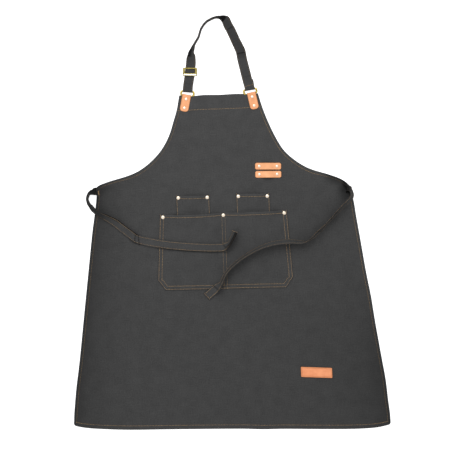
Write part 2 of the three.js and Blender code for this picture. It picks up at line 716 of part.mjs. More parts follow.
function neckStations() {
  const wrap = WIRE / 2 + GAP + STRAP.thick / 2;
  const barWrap = SLIDER.bar / 2 + GAP + STRAP.thick / 2;
  const slider = strapBar(SLIDER, SLIDER.barPlane, 0, 1);
  const left = strapBar(RINGS[0], RING_PLANE, RING.height / 2, 1);
  const right = strapBar(RINGS[1], RING_PLANE, RING.height / 2, -1);
  return [
    layerStation(slider, -17, 1),
    layerStation(slider, -9, 1),
    ...wrapStations(slider, barWrap, 180, -40, 8),
    layerStation(slider, -5.4, 3.9),
    layerStation(slider, -9, 3.1),
    layerStation(slider, -18, 2.8),
    layerStation(left, 18, 2.5),
    layerStation(left, 6, 2),
    ...wrapStations(left, wrap, 180, 360, 7),
    ...laidStations(NECK_PATH, STRAP),
    ...wrapStations(right, wrap, 0, -180, 7),
    layerStation(right, 6, 2),
    layerStation(right, 14, 1.5),
    layerStation(right, 24, 1),
  ];
}
addPiece("neck_strap", ribbon(neckStations(), STRAP), CANVAS);

// Waist ties, each sewn under its waist corner and brought over the front
function tieStations(side, rows) {
  const height = WAIST_HEIGHT - TIE.width / 2;
  const across = new THREE.Vector3(0, -side, 0);
  const roots = [20, 6].map((inset) => {
    const x = side * (halfWidth(height) - inset);
    const point = pointAt(x, height, 0);
    const lifts = [-1.6, 0, 1].map((share) => lie(x, height + (share * TIE.width) / 2).lift);
    point.z = Math.max(Math.min(...lifts) - GAP - TIE.thick / 2, TIE.thick / 2 + GAP);
    return { point, across };
  });
  return [...roots, ...laidStations(rows, TIE)];
}
addPiece("waist_tie_left", ribbon(tieStations(-1, LEFT_TIE_PATH), TIE), CANVAS);
addPiece("waist_tie_right", ribbon(tieStations(1, RIGHT_TIE_PATH), TIE), CANVAS);

for (const rivet of rivets) {
  const geometry = rivetGeometry(rivet.kind, rivet.x, rivet.y, rivet.seat, rivet.under);
  addPiece(rivet.name, geometry, PALE_METAL);
}

export default group;
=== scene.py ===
import math

import bpy
import numpy as np
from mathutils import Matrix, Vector


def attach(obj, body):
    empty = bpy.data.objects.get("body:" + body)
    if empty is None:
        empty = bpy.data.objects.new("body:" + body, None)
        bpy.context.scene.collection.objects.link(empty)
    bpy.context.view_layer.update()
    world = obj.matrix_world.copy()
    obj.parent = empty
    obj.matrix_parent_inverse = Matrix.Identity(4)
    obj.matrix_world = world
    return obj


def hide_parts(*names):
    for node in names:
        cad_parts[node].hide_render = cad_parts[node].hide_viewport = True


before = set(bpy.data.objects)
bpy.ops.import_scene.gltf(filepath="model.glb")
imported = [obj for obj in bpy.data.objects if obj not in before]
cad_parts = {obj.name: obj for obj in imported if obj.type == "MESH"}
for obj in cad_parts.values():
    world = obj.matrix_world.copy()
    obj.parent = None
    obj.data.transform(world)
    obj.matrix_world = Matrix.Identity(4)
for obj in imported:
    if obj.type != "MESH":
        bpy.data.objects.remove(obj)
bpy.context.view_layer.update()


# Apron panel: charcoal cotton canvas cut in one piece, with curved armholes and a square bib.
# Its edges are turned under and topstitched. It lies flat, with the bib leaning to the left.
MM = 0.001
CLOTH = 1.2
FOLD = 1.2
PANEL_THICK = CLOTH + FOLD
LENGTH = 868.0
HEM_HALF = 414.0
WAIST_HALF = 330.0
WAIST_HEIGHT = 628.0
BIB_HALF = 102.5
HEM = 11.2
HEM_STITCH = 10.2
SIDE_HEM = 8.0
SIDE_STITCH = HEM_STITCH * SIDE_HEM / HEM
BIB_HEM = 35.0
BIB_STITCH = 34.0
CORNER_RADIUS = 6.0
HEM_CORNER = dict(rise=12, power=9, reach=120)
ARMHOLE_UPPER = (155.0, 623.0)
ARMHOLE_LOWER = (282.0, 682.0)
HEM_AT = -538.0
BIB_LEAN = 35.4
LEAN_POWER = 1.25
BIB_TURN = math.radians(4.8)
TURN_REACH = 120.0
BIB_LIFT = dict(height=3.5, start=95, full=50)
HEM_STEP = 0.3
FACE_EASE = (-0.4, 1.6)
UNDER_EASE = (0, 1)
STITCH_DIP = 0.4
VALLEY = 0.9
EDGE_ROUND = 1.3
PANEL_RIM = dict(face=0.9, under=0.7)
PANEL_PUCKER = dict(
    height=0.16, slope=0.9, rate=0.55, sway=1.7, sway_x=0.031, sway_y=-0.031, line=5, width=4.5,
)
EDGE_STEPS = (0, 0.35, 0.9, 1.8, 3.5, 5.5, 6.5, 7.3, 8.1, 9.2, 10.2, 11.2, 13.5)
LIE_ROUNDS = 6
PANEL_ROWS = 150
PANEL_COLUMNS = 136
YARN_PAIR = 1.9
# Deep tone that the canvas turns to under painted shade
PAINTED_SHADE_TONE = (0.003, 0.003, 0.003)

# Painted shade beside an edge: how much darker the cloth is, how far that reaches, and the heights where it
# ends
LEFT_SHADE = dict(depth=0.47, reach=44, ends=(WAIST_HEIGHT, WAIST_HEIGHT + 60))
RIGHT_SHADE = dict(depth=0.085, reach=140, ends=(WAIST_HEIGHT - 30, WAIST_HEIGHT + 30))
LOW_NEAR_SHADE = dict(depth=0.14, reach=25)
LOW_FAR_SHADE = dict(depth=0.24, reach=110)
LOW_SHADE_ENDS = (120, 460)
ARMHOLE_SHADE = dict(depth=0.65, reach=28, across=(250, 288), up=(WAIST_HEIGHT - 16, WAIST_HEIGHT + 4))

# Painted shade in the fold at the right waist corner and beside the ties
RIGHT_FOLD = dict(x=321, y=624, across=0.85, up=0.52, length=24, width=10)
RIGHT_TIE_SHADE = dict(depth=0.72, x=316, y=620, wide=18, high=24)
LEFT_TIE_SHADE = dict(depth=0.66, y=612, high=32, wide=14, widens=1.3, widens_from=605, widens_over=24)


def table(columns, *rows):
    """Rows of a table by the names of its columns; a short row lacks the last ones."""
    return [dict(zip(columns.split(), row)) for row in rows]


# Where the cloth is drawn sideways, up its length or off the floor, in the panel's own cut
TUGS = table(
    "at x y across up lift reach",
    ("left_bib_corner", -102, 868, 0, 6.8, 0, 26),
    ("right_bib_corner", 84, 868, 0, -2.4, 0, 24),
    ("bib_top_left", -42, 868, 0, 4.2, 0, 34),
    ("bib_top_middle", 22, 868, 0, 1.3, 0, 55),
    ("left_waist_corner", -330, 628, 3.2, 2.2, 7, 42),
    ("right_waist_corner", 330, 628, -4, 0, 10, 32),
    ("right_armhole_end", 313, 645, 0.6, 1.3, 0, 24),
    ("right_armhole_low", 267, 664, 0, 1.9, 0, 30),
    ("right_waist_tip", 326, 632, 1.0, 0.2, 0, 12),
    ("left_side_top", -338, 572, 2.0, 0, 0, 40),
    ("left_waist_tip", -326, 633, -4.2, 1.6, 0, 16),
    ("left_side", -385, 260, -1.6, 0, 0, 210),
    ("right_side_high", 335, 592, 1.8, 0, 0, 26),
    ("right_side_top", 350, 500, 2.2, 0, 0, 140),
    ("right_side", 395, 190, 4.4, 0, 0, 160),
    ("right_side_middle", 370, 345, 1.9, 0, 0, 50),
    ("right_side_low", 398, 128, 1.9, 0, 0, 45),
    ("right_hem_corner", 412, 0, -2.4, 1.4, 0, 24),
    ("left_side_low", -402, 104, -1.9, 0, 0, 52),
    ("left_hem_corner", -414, 0, 2.4, -1.0, 0, 26),
    ("left_armhole_middle", -186, 700, -1.6, 1.2, 0, 42),
    ("right_armhole_middle", 165, 721, -1.5, -0.8, 0, 26),
    ("right_armhole_high", 128, 784, 1.1, 0, 0, 40),
    ("bib_seam_left", -30, 834, 0, -1.0, 0, 22),
    ("bib_seam_middle", 5, 834, 0, -2.0, 0, 22),
    ("bib_seam_right", 40, 834, 0, -2.6, 0, 22),
    ("bib_seam_end", 72, 834, 0, -2.8, 0, 22),
    ("hem_middle", 60, 0, 0, 1.8, 0, 190),
    ("hem_right", 82, 0, 0, -1.4, 0, 36),
    ("left_armhole_high", -120, 806, -1.5, 0, 0, 24),
    ("hem_left_end", -380, 0, 0, -1.2, 0, 40),
    ("hem_left", -270, 0, 0, -1.4, 0, 80),
)

# Soft waves left in the cloth: direction, wave length and height
WAVES = table(
    "across up length height phase",
    (0.9, 0.4, 210, 0.22, 0.4),
    (-0.5, 0.85, 150, 0.20, 2.1),
    (0.3, 1.0, 95, 0.14, 4.0),
    (1.0, -0.35, 74, 0.10, 1.2),
)
WAVE_SWAY = dict(depth=0.6, rate=0.37)


def smooth(start, end, value):
    """Eases from 0 at start to 1 at end."""
    share = np.clip((value - start) / (end - start), 0, 1)
    return share * share * (3 - 2 * share)


def fall(start, end, value):
    """Eases from 1 at start to 0 at end."""
    return 1 - smooth(start, end, value)


def dip(distance, line, width):
    """Narrow valley that a row of stitches pulls into the cloth."""
    return np.exp(-(((distance - line) / width) ** 2))


def armhole_curve():
    """Cut line of the armhole from the bib's corner to the waist's corner."""
    t = np.linspace(0, 1, 2001)[:, None]
    handles = np.array([(BIB_HALF, LENGTH), ARMHOLE_UPPER, ARMHOLE_LOWER, (WAIST_HALF, WAIST_HEIGHT)])
    weights = np.hstack([(1 - t) ** 3, 3 * t * (1 - t) ** 2, 3 * t * t * (1 - t), t**3])
    return weights @ handles


ARMHOLE = armhole_curve()


def half_width(y):
    """Half width of the cut panel at a height above the hem."""
    short = np.clip(CORNER_RADIUS - y, 0, None)
    side = HEM_HALF + (WAIST_HALF - HEM_HALF) * y / WAIST_HEIGHT
    side = side - CORNER_RADIUS + np.sqrt(np.clip(CORNER_RADIUS**2 - short**2, 0, None))
    return np.where(y <= WAIST_HEIGHT, side, np.interp(-y, -ARMHOLE[:, 1], ARMHOLE[:, 0]))


def slant(y):
    """How much wider than its true width a band along the side edge is, measured straight across."""
    flare = half_width(y + 0.5) - half_width(np.clip(y - 0.5, 0, None))
    return np.hypot(1, flare)


def lie(x, y):
    """Where a point of the cut panel lies, and how far it is lifted off the floor."""
    t = np.clip(y / LENGTH, 0, None)
    share = np.clip(np.abs(x) / HEM_HALF, 0, 1)
    place_x = x - BIB_LEAN * t**LEAN_POWER
    place_y = HEM_AT + y + TURN_REACH * np.tanh(x / TURN_REACH) * np.tan(BIB_TURN * t * t)
    place_y = place_y + HEM_CORNER["rise"] * share ** HEM_CORNER["power"] * fall(0, HEM_CORNER["reach"], y)
    lift = BIB_LIFT["height"] * smooth(LENGTH - BIB_LIFT["start"], LENGTH - BIB_LIFT["full"], y)
    for tug in TUGS:
        strength = np.exp(-((x - tug["x"]) ** 2 + (y - tug["y"]) ** 2) / tug["reach"] ** 2)
        place_x = place_x + tug["across"] * strength
        place_y = place_y + tug["up"] * strength
        lift = lift + tug["lift"] * strength
    for wave in WAVES:
        along = (x * wave["across"] + y * wave["up"]) * 2 * math.pi / wave["length"]
        sway = WAVE_SWAY["depth"] * np.sin(along * WAVE_SWAY["rate"])
        lift = lift + wave["height"] * (1 + np.sin(along + wave["phase"] + sway))
    return place_x, place_y, lift


def hem_distances(x, y):
    """Distances from the side edge, the bottom hem and the bib's top edge."""
    return (half_width(y) - np.abs(x)) / slant(y), y, LENGTH - y


def hem_edges(x, y):
    """Distance from the sides and bottom, scaled so that both hems end alike, and from the bib's top."""
    side, low, high = hem_distances(x, y)
    return np.minimum(side * HEM / SIDE_HEM, low), high


def inside_hems(near, high, ease):
    """1 inside the turned hems and 0 on them, with a short ease between."""
    start, end = ease
    return smooth(HEM + start, HEM + end, near) * smooth(BIB_HEM + start, BIB_HEM + end, high)


def puckered(pucker, x, y, distance):
    """Small ripples that a seam draws into the cloth beside an edge."""
    sway = pucker["sway"] * np.sin(x * pucker["sway_x"] + y * pucker["sway_y"])
    ripple = pucker["height"] * np.sin((x * pucker["slope"] + y) * pucker["rate"] + sway)
    return ripple * dip(distance, pucker["line"], pucker["width"])


def grid_of(x, y, z):
    """Grid of points from their three coordinates."""
    return np.stack([x, y, z], axis=-1)


def rim_drop(distance, radius):
    """How far a rounded edge falls away near the very edge of the cloth."""
    return 1 - np.sqrt(1 - np.clip(1 - distance / radius, 0, 1) ** 2)


def panel_relief(x, y):
    """Height of the panel's face above its underside, with hems, stitch valleys and rounded edges."""
    near, high = hem_edges(x, y)
    inside = inside_hems(near, high, FACE_EASE)
    pucker = puckered(PANEL_PUCKER, x, y, near)
    valley = STITCH_DIP * np.maximum(dip(near, HEM_STITCH, VALLEY), dip(high, BIB_STITCH, VALLEY))
    rim = PANEL_RIM["face"] * rim_drop(np.minimum(near, high), EDGE_ROUND)
    return PANEL_THICK - HEM_STEP * inside - valley - rim + pucker


def panel_face(x, y):
    """Points of the panel's face, in millimetres."""
    place_x, place_y, lift = lie(x, y)
    return grid_of(place_x, place_y, lift + panel_relief(x, y))


def panel_under(x, y):
    """Points of the panel's underside, with the turned hems lying on the floor."""
    near, high = hem_edges(x, y)
    inside = inside_hems(near, high, UNDER_EASE)
    rim = PANEL_RIM["under"] * rim_drop(np.minimum(near, high), EDGE_ROUND)
    place_x, place_y, lift = lie(x, y)
    return grid_of(place_x, place_y, lift + FOLD * inside + rim)


def face_normal(face, x, y):
    """Direction straight out of a cloth face."""
    step = 0.8
    across = face(x + step, y) - face(x - step, y)
    upward = face(x, y + step) - face(x, y - step)
    normal = np.cross(across, upward)
    return normal / np.linalg.norm(normal, axis=-1, keepdims=True)


def cloth_grid(rows, edges, count):
    """Places across and up a cloth, on a grid that is closest beside its two sides."""
    middle = edges[:, -1:] * np.linspace(-1, 1, count)[1:-1]
    x = np.concatenate([-edges, middle, edges[:, ::-1]], axis=1)
    return x, np.repeat(rows[:, None], x.shape[1], axis=1)


def mesh_piece(name, points, edges=(), faces=(), material=None, **fields):
    """Smooth piece from points in millimetres; fields hold one or three numbers to a point."""
    mesh = bpy.data.meshes.new(name)
    mesh.from_pydata((np.asarray(points) * MM).tolist(), edges, faces)
    mesh.polygons.foreach_set("use_smooth", np.ones(len(mesh.polygons), bool))
    for label, values in fields.items():
        values = np.asarray(values, float)
        kind, part = ("FLOAT", "value") if values.ndim == 1 else ("FLOAT_VECTOR", "vector")
        mesh.attributes.new(label, kind, "POINT").data.foreach_set(part, values.ravel())
    if material is not None:
        mesh.materials.append(material)
    piece = bpy.data.objects.new(name, mesh)
    bpy.context.scene.collection.objects.link(piece)
    return piece


def slab_piece(name, face, under, cut, crease, material):
    """Closed piece between two matching grids; cut holds the flat place and the distance from the edge."""
    rows, columns = face.shape[:2]
    first = (np.arange(rows - 1)[:, None] * columns + np.arange(columns - 1)).ravel()
    upper = np.stack([first, first + 1, first + columns + 1, first + columns], axis=1)
    lower = upper[:, ::-1] + rows * columns
    left = np.arange(rows) * columns
    front = np.arange(columns)
    rim = np.concatenate([front, left[1:] + columns - 1, (rows - 1) * columns + front[-2::-1], left[-2:0:-1]])
    ahead = np.roll(rim, -1)
    wall = np.stack([rim, rim + rows * columns, ahead + rows * columns, ahead], axis=1)
    points = np.concatenate([face.reshape(-1, 3), under.reshape(-1, 3)])
    faces = np.concatenate([upper, lower, wall]).tolist()
    flat = np.tile(cut.reshape(-1, 3), (2, 1)) * MM
    return mesh_piece(name, points, (), faces, material, cut=flat, crease=np.tile(crease.ravel(), 2))


def add_node(tree, kind, inputs=None, **settings):
    """Outputs of a new node, its inputs linked from sockets or set to plain values."""
    node = tree.nodes.new(kind)
    for label, value in settings.items():
        setattr(node, label, value)
    for label, value in (inputs or {}).items():
        if isinstance(value, bpy.types.NodeSocket):
            tree.links.new(value, node.inputs[label])
        else:
            node.inputs[label].default_value = value
    return node.outputs


def math_node(tree, operation, first, second=0.0):
    """Sum, product or other function of sockets and plain numbers."""
    return add_node(tree, "ShaderNodeMath", {0: first, 1: second}, operation=operation)[0]


def noise_node(tree, vector, scale, detail, stretch=(1, 1, 1)):
    """Noise, from 0 to 1, squeezed or stretched along each axis."""
    mapped = add_node(tree, "ShaderNodeMapping", {"Vector": vector, "Scale": stretch})["Vector"]
    return add_node(tree, "ShaderNodeTexNoise", {"Vector": mapped, "Scale": scale, "Detail": detail})["Fac"]


def ramp_node(tree, factor, stops):
    """Colour ramp between two (place, colour) stops."""
    ramp = tree.nodes.new("ShaderNodeValToRGB")
    for element, (place, colour) in zip(ramp.color_ramp.elements, stops):
        element.position = place
        element.color = (*colour, 1)
    tree.links.new(factor, ramp.inputs["Fac"])
    return ramp.outputs["Color"]


def bump_node(tree, height, strength, distance, under=None):
    """Bump from a height, on top of another bump where there is one."""
    inputs = {"Strength": strength, "Distance": distance, "Height": height}
    if under is not None:
        inputs["Normal"] = under
    return add_node(tree, "ShaderNodeBump", inputs)["Normal"]


def mix_node(tree, share, first, second):
    """Colour between two others, which are sockets or plain colours."""
    inputs = {"Factor": share, "A": first, "B": second}
    return add_node(tree, "ShaderNodeMix", inputs, data_type="RGBA")["Result"]


def toned(tree, colour, label, tone):
    """Colour that turns to another tone where a named field of the piece is high."""
    share = add_node(tree, "ShaderNodeAttribute", attribute_name=label)["Fac"]
    return mix_node(tree, share, colour, (*tone, 1))


def new_finish(name, roughness, metallic, specular):
    """Bare material and its shader."""
    material = bpy.data.materials.new(name)
    material.use_nodes = True
    shader = material.node_tree.nodes["Principled BSDF"]
    shader.inputs["Roughness"].default_value = roughness
    shader.inputs["Metallic"].default_value = metallic
    shader.inputs["Specular IOR Level"].default_value = specular
    return material, material.node_tree, shader


def cut_place(tree):
    """Flat place on the cut, and the place split into across, along and distance from the edge."""
    place = add_node(tree, "ShaderNodeAttribute", attribute_name="cut")["Vector"]
    return place, add_node(tree, "ShaderNodeSeparateXYZ", {"Vector": place})


def canvas_finish(name, dark, light):
    """Plain woven canvas: crossing yarns, slubs along both threads, pale flecks and soft wear, and a deep
    tone, mostly painted shade, where a field of the piece asks for it.
    """
    material, tree, shader = new_finish(name, roughness=0.93, metallic=0, specular=0.04)
    shader.inputs["Sheen Weight"].default_value = 0.012
    shader.inputs["Sheen Roughness"].default_value = 0.6
    place, (across, along, _) = cut_place(tree)
    yarns = 2 * math.pi / (YARN_PAIR * MM)
    warp = math_node(tree, "SINE", math_node(tree, "MULTIPLY", across, yarns))
    weft = math_node(tree, "SINE", math_node(tree, "MULTIPLY", along, yarns))
    weave = math_node(tree, "MULTIPLY", warp, weft)
    warp_slub = noise_node(tree, place, 900, 2, (1, 0.04, 0))
    weft_slub = noise_node(tree, place, 900, 2, (0.04, 1, 0))
    fleck = noise_node(tree, place, 330, 1, (1, 1, 0))
    mottle = noise_node(tree, place, 34, 4, (1, 1, 0))
    cloud = noise_node(tree, place, 6, 2, (1, 1, 0))
    slubs = math_node(tree, "MULTIPLY", math_node(tree, "ADD", warp_slub, weft_slub), 0.5)
    tone = math_node(tree, "MULTIPLY", weave, 0.05)
    for field, part in ((slubs, 0.62), (fleck, 0.42), (mottle, 0.26), (cloud, 0.08)):
        tone = math_node(tree, "ADD", tone, math_node(tree, "MULTIPLY", field, part))
    colour = ramp_node(tree, tone, ((0.48, dark), (0.88, light)))
    tree.links.new(toned(tree, colour, "crease", PAINTED_SHADE_TONE), shader.inputs["Base Color"])
    height = math_node(tree, "ADD", math_node(tree, "MULTIPLY", weave, 0.5), slubs)
    tree.links.new(bump_node(tree, height, 0.45, 0.0003), shader.inputs["Normal"])
    return material


def faded(shade, distance):
    """Depth of a shade at a distance from its edge."""
    return shade["depth"] * np.exp(-distance / shade["reach"])


def side_shade(x, y):
    """Painted shade: how much darker the cloth is toward its left side and its lower right corner."""
    half = half_width(y)
    left = faded(LEFT_SHADE, half + x) * fall(*LEFT_SHADE["ends"], y)
    right = faded(RIGHT_SHADE, half - x) * fall(*RIGHT_SHADE["ends"], y)
    low_right = faded(LOW_NEAR_SHADE, half - x) + faded(LOW_FAR_SHADE, half - x)
    return left + right + low_right * fall(*LOW_SHADE_ENDS, y)


def armhole_shade(x, y):
    """Painted shade: how much darker the cloth is under the end of the right armhole."""
    from_edge = (half_width(y) - x) / slant(y)
    near_end = smooth(*ARMHOLE_SHADE["across"], x) * smooth(*ARMHOLE_SHADE["up"], y)
    return ARMHOLE_SHADE["depth"] * np.exp(-((from_edge / ARMHOLE_SHADE["reach"]) ** 2)) * near_end


def painted_panel_shade(x, y):
    """Painted shade: how much darker the cloth is in the fold at the right waist, by the ties and beside the
    edges.
    """
    across = x - RIGHT_FOLD["x"]
    up = y - RIGHT_FOLD["y"]
    down_fold = across * RIGHT_FOLD["up"] - up * RIGHT_FOLD["across"]
    off_fold = across * RIGHT_FOLD["across"] + up * RIGHT_FOLD["up"]
    fold = np.exp(-((down_fold / RIGHT_FOLD["length"]) ** 4) - (off_fold / RIGHT_FOLD["width"]) ** 2)
    right = RIGHT_TIE_SHADE
    by_right = np.exp(-(((x - right["x"]) / right["wide"]) ** 2) - ((y - right["y"]) / right["high"]) ** 2)
    left = LEFT_TIE_SHADE
    wide = left["wide"] + left["widens"] * np.clip(y - left["widens_from"], 0, left["widens_over"])
    by_left = np.exp(-(((x + half_width(y)) / wide) ** 2) - ((y - left["y"]) / left["high"]) ** 4)
    by_ties = np.maximum(right["depth"] * by_right, left["depth"] * by_left)
    return np.maximum.reduce([fold, by_ties, side_shade(x, y), armhole_shade(x, y)])


charcoal_canvas = canvas_finish("charcoal_canvas", (0.0290, 0.0290, 0.0293), (0.0498, 0.0498, 0.0498))

# Rows of the panel's grid, closest at the hems and at the bib's seam
panel_heights = np.unique(np.concatenate([
    EDGE_STEPS,
    np.linspace(17, WAIST_HEIGHT, int(PANEL_ROWS * 0.7)),
    np.linspace(WAIST_HEIGHT, LENGTH - BIB_HEM - 4, int(PANEL_ROWS * 0.4)),
    LENGTH - BIB_HEM + np.array([-2.2, -1, 0, 0.6, 1.2, 2.2, 4]),
    np.linspace(LENGTH - 27, LENGTH - 8, 5),
    LENGTH - np.array(EDGE_STEPS[:6]),
]))
edge_shares = np.array(EDGE_STEPS)
row_half = half_width(panel_heights)
row_reach = np.minimum(slant(panel_heights), 0.3 * row_half / edge_shares[-1])
edge_places = row_half[:, None] - edge_shares * row_reach[:, None]
panel_x, panel_y = cloth_grid(panel_heights, edge_places, PANEL_COLUMNS)
panel_edge = np.minimum.reduce(hem_distances(panel_x, panel_y))
panel_cut = grid_of(panel_x, panel_y, panel_edge)
# The panel's cloth is darkened with painted shade at its edges, in its right waist fold and beside the ties
apron_panel = slab_piece(
    "canvas_panel", panel_face(panel_x, panel_y), panel_under(panel_x, panel_y), panel_cut,
    painted_panel_shade(panel_x, panel_y), charcoal_canvas,
)
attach(apron_panel, "root")
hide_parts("apron_panel")


# Panel topstitching: golden brown thread, one row round the hems, armholes and sides,
# and one across the bib. Each stitch is a short length of thread that dives into the cloth.
STITCH_PITCH = 4.0
STITCH_LENGTH = 3.5
THREAD = 1.05
THREAD_DIMMING = 0.12
THREAD_LIFT = 0.12
STITCH_STOP = 1.5
TACK = dict(points=17, half=4.6, drop=11, inset=1.8, sway=0.9, pitch=2.3, stitch=2.6, right_depth=0.97)

# Stretches of the sides where the thread lies in the dark: middle, half length and depth
THREAD_SHADE = dict(left_tack=(627, 8, 0.85), left_corner=(612, 56, 0.35), right_corner=(618, 28, 1.0))
LEFT_ARMHOLE_DIMMING = dict(depth=0.35, start=WAIST_HEIGHT + 10, full=WAIST_HEIGHT + 60)


def thread_finish():
    """Twisted thread with a slight shine and uneven dye, darkened where a field of the piece asks for it,
    mostly by painted shade.
    """
    material, tree, shader = new_finish("topstitch_thread", roughness=0.6, metallic=0, specular=0.3)
    place = add_node(tree, "ShaderNodeTexCoord")["Object"]
    dye = noise_node(tree, place, 160, 2)
    colour = ramp_node(tree, dye, ((0.3, (0.20, 0.125, 0.055)), (0.7, (0.32, 0.205, 0.09))))
    tree.links.new(toned(tree, colour, "crease", (0.008, 0.006, 0.004)), shader.inputs["Base Color"])
    ply = noise_node(tree, place, 2600, 1, (1, 1, 0.3))
    tree.links.new(bump_node(tree, ply, 0.3, 0.0002), shader.inputs["Normal"])
    return material


def new_group(name, inputs):
    """Geometry node group, the identifiers of its inputs, and their sockets inside it."""
    tree = bpy.data.node_groups.new(name, "GeometryNodeTree")
    names = {}
    for label, kind in inputs.items():
        socket = tree.interface.new_socket(name=label, in_out="INPUT", socket_type="NodeSocket" + kind)
        names[label] = socket.identifier
    tree.interface.new_socket(name=name, in_out="OUTPUT", socket_type="NodeSocketGeometry")
    return tree, names, tree.nodes.new("NodeGroupInput").outputs


def close_group(tree, made, finish):
    """Turns what a node group made into one smooth mesh with its finish."""
    real = add_node(tree, "GeometryNodeRealizeInstances", {"Geometry": made})["Geometry"]
    soft = add_node(tree, "GeometryNodeSetShadeSmooth", {"Geometry": real})["Geometry"]
    dressed = add_node(tree, "GeometryNodeSetMaterial", {"Geometry": soft, "Material": finish})["Geometry"]
    add_node(tree, "NodeGroupOutput", {0: dressed})


def field_node(tree, label, kind):
    """Named field of the points that a node group runs on."""
    return add_node(tree, "GeometryNodeInputNamedAttribute", {"Name": label}, data_type=kind)["Attribute"]


def stitching_tree():
    """Nodes that lay one stitch after another along drawn lines."""
    tree, names, given = new_group("Topstitching", {
        "Lines": "Geometry", "Pitch": "Float", "Stitch length": "Float", "Thread": "Float", "Seed": "Int",
        "Finish": "Material",
    })
    line = add_node(tree, "GeometryNodeMeshToCurve", {"Mesh": given["Lines"]})["Curve"]
    spacing = {"Curve": line, "Length": given["Pitch"]}
    spaced = add_node(tree, "GeometryNodeResampleCurve", spacing, mode="LENGTH")["Curve"]
    grain = add_node(tree, "GeometryNodeMeshUVSphere", {"Segments": 6, "Rings": 5, "Radius": 0.5})["Mesh"]
    flatter = math_node(tree, "MULTIPLY", given["Thread"], 0.8)
    sides = {"X": given["Stitch length"], "Y": given["Thread"], "Z": flatter}
    size = add_node(tree, "ShaderNodeCombineXYZ", sides)["Vector"]
    stitch = add_node(tree, "GeometryNodeTransform", {"Geometry": grain, "Scale": size})["Geometry"]
    tangent = add_node(tree, "GeometryNodeInputTangent")["Tangent"]
    align = "FunctionNodeAlignRotationToVector"
    along = add_node(tree, align, {"Vector": tangent}, axis="X")["Rotation"]
    turned = {"Rotation": along, "Vector": field_node(tree, "out", "FLOAT_VECTOR")}
    upright = add_node(tree, align, turned, axis="Z", pivot_axis="X")["Rotation"]
    spread = {2: 0.88, 3: 1.08, "Seed": given["Seed"]}
    vary = add_node(tree, "FunctionNodeRandomValue", spread, data_type="FLOAT")[1]
    placed = {"Points": spaced, "Instance": stitch, "Rotation": upright, "Scale": vary}
    close_group(tree, add_node(tree, "GeometryNodeInstanceOnPoints", placed)["Instances"], given["Finish"])
    return tree, names


def grow(name, points, edges, group, settings, **fields):
    """Runs a node group on drawn lines or points and keeps the result as a plain mesh."""
    tree, names = group
    piece = mesh_piece(name, points, edges, **fields)
    modifier = piece.modifiers.new(name, "NODES")
    modifier.node_group = tree
    for label, value in settings.items():
        modifier[names[label]] = value
    made = bpy.data.meshes.new_from_object(piece.evaluated_get(bpy.context.evaluated_depsgraph_get()))
    piece.modifiers.clear()
    piece.data = made
    return piece


def sew(name, lines, seed, pitch=STITCH_PITCH, stitch=STITCH_LENGTH):
    """Topstitching along lines, each of points, outward directions and how far the thread is darkened there,
    mostly by painted shade.
    """
    edges = []
    start = 0
    for points, _, _ in lines:
        edges += [(start + i, start + i + 1) for i in range(len(points) - 1)]
        start += len(points)
    points = np.concatenate([points + THREAD_LIFT * out for points, out, _ in lines])
    outs = np.concatenate([out for _, out, _ in lines])
    creases = np.concatenate([np.broadcast_to(crease, len(out)) for _, out, crease in lines])
    settings = {
        "Pitch": pitch * MM, "Stitch length": stitch * MM, "Thread": THREAD * MM, "Seed": seed,
        "Finish": topstitch_thread,
    }
    piece = grow(name, points, edges, stitch_group, settings, out=outs, crease=creases)
    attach(piece, "root")
    return piece


def line_on(face, x, y, crease=0.0):
    """Stitch line on a cloth face, through places of the cut."""
    x, y = np.broadcast_arrays(np.asarray(x, float), np.asarray(y, float))
    return face(x, y), face_normal(face, x, y), crease


def shaded(heights, middle, half, depth):
    """How dark the thread is on a stretch of the side, by its middle and its half length."""
    return depth * np.exp(-(((heights - middle) / half) ** 4))


topstitch_thread = thread_finish()
stitch_group = stitching_tree()

side_heights = np.linspace(HEM_STITCH, LENGTH - STITCH_STOP, 420)
side_places = half_width(side_heights) - SIDE_STITCH * slant(side_heights)
bottom_places = np.linspace(-side_places[0], side_places[0], 200)
bib_places = np.linspace(-1, 1, 60) * (half_width(np.array(LENGTH - BIB_STITCH)) - STITCH_STOP)
# Thread darkness along the sides: painted shade toward the edges and near the waist corners, an even dimming,
# and more dimming up the left armhole
wear = LEFT_ARMHOLE_DIMMING
left_dimming = THREAD_DIMMING + wear["depth"] * smooth(wear["start"], wear["full"], side_heights)
left_depth = np.maximum.reduce([
    shaded(side_heights, *THREAD_SHADE["left_tack"]), shaded(side_heights, *THREAD_SHADE["left_corner"]),
    left_dimming + side_shade(-side_places, side_heights),
])
right_shade = side_shade(side_places, side_heights) + armhole_shade(side_places, side_heights)
right_depth = np.maximum(shaded(side_heights, *THREAD_SHADE["right_corner"]), THREAD_DIMMING + right_shade)
panel_stitching = sew("panel_stitching", [
    line_on(panel_face, -side_places, side_heights, left_depth),
    line_on(panel_face, side_places, side_heights, right_depth),
    line_on(panel_face, bottom_places, HEM_STITCH),
    line_on(panel_face, bib_places, LENGTH - BIB_STITCH),
], seed=3)
tack_heights = WAIST_HEIGHT - TACK["drop"] + np.linspace(-TACK["half"], TACK["half"], TACK["points"])
tack_sides = np.where(np.arange(TACK["points"]) % 2, 1, -1)
tack_places = half_width(tack_heights) - SIDE_STITCH + TACK["inset"] + TACK["sway"] * tack_sides
bar_tacks = sew("bar_tacks", [
    line_on(panel_face, -tack_places, tack_heights),
    line_on(panel_face, tack_places, tack_heights, TACK["right_depth"]),
], seed=4, pitch=TACK["pitch"], stitch=TACK["stitch"])


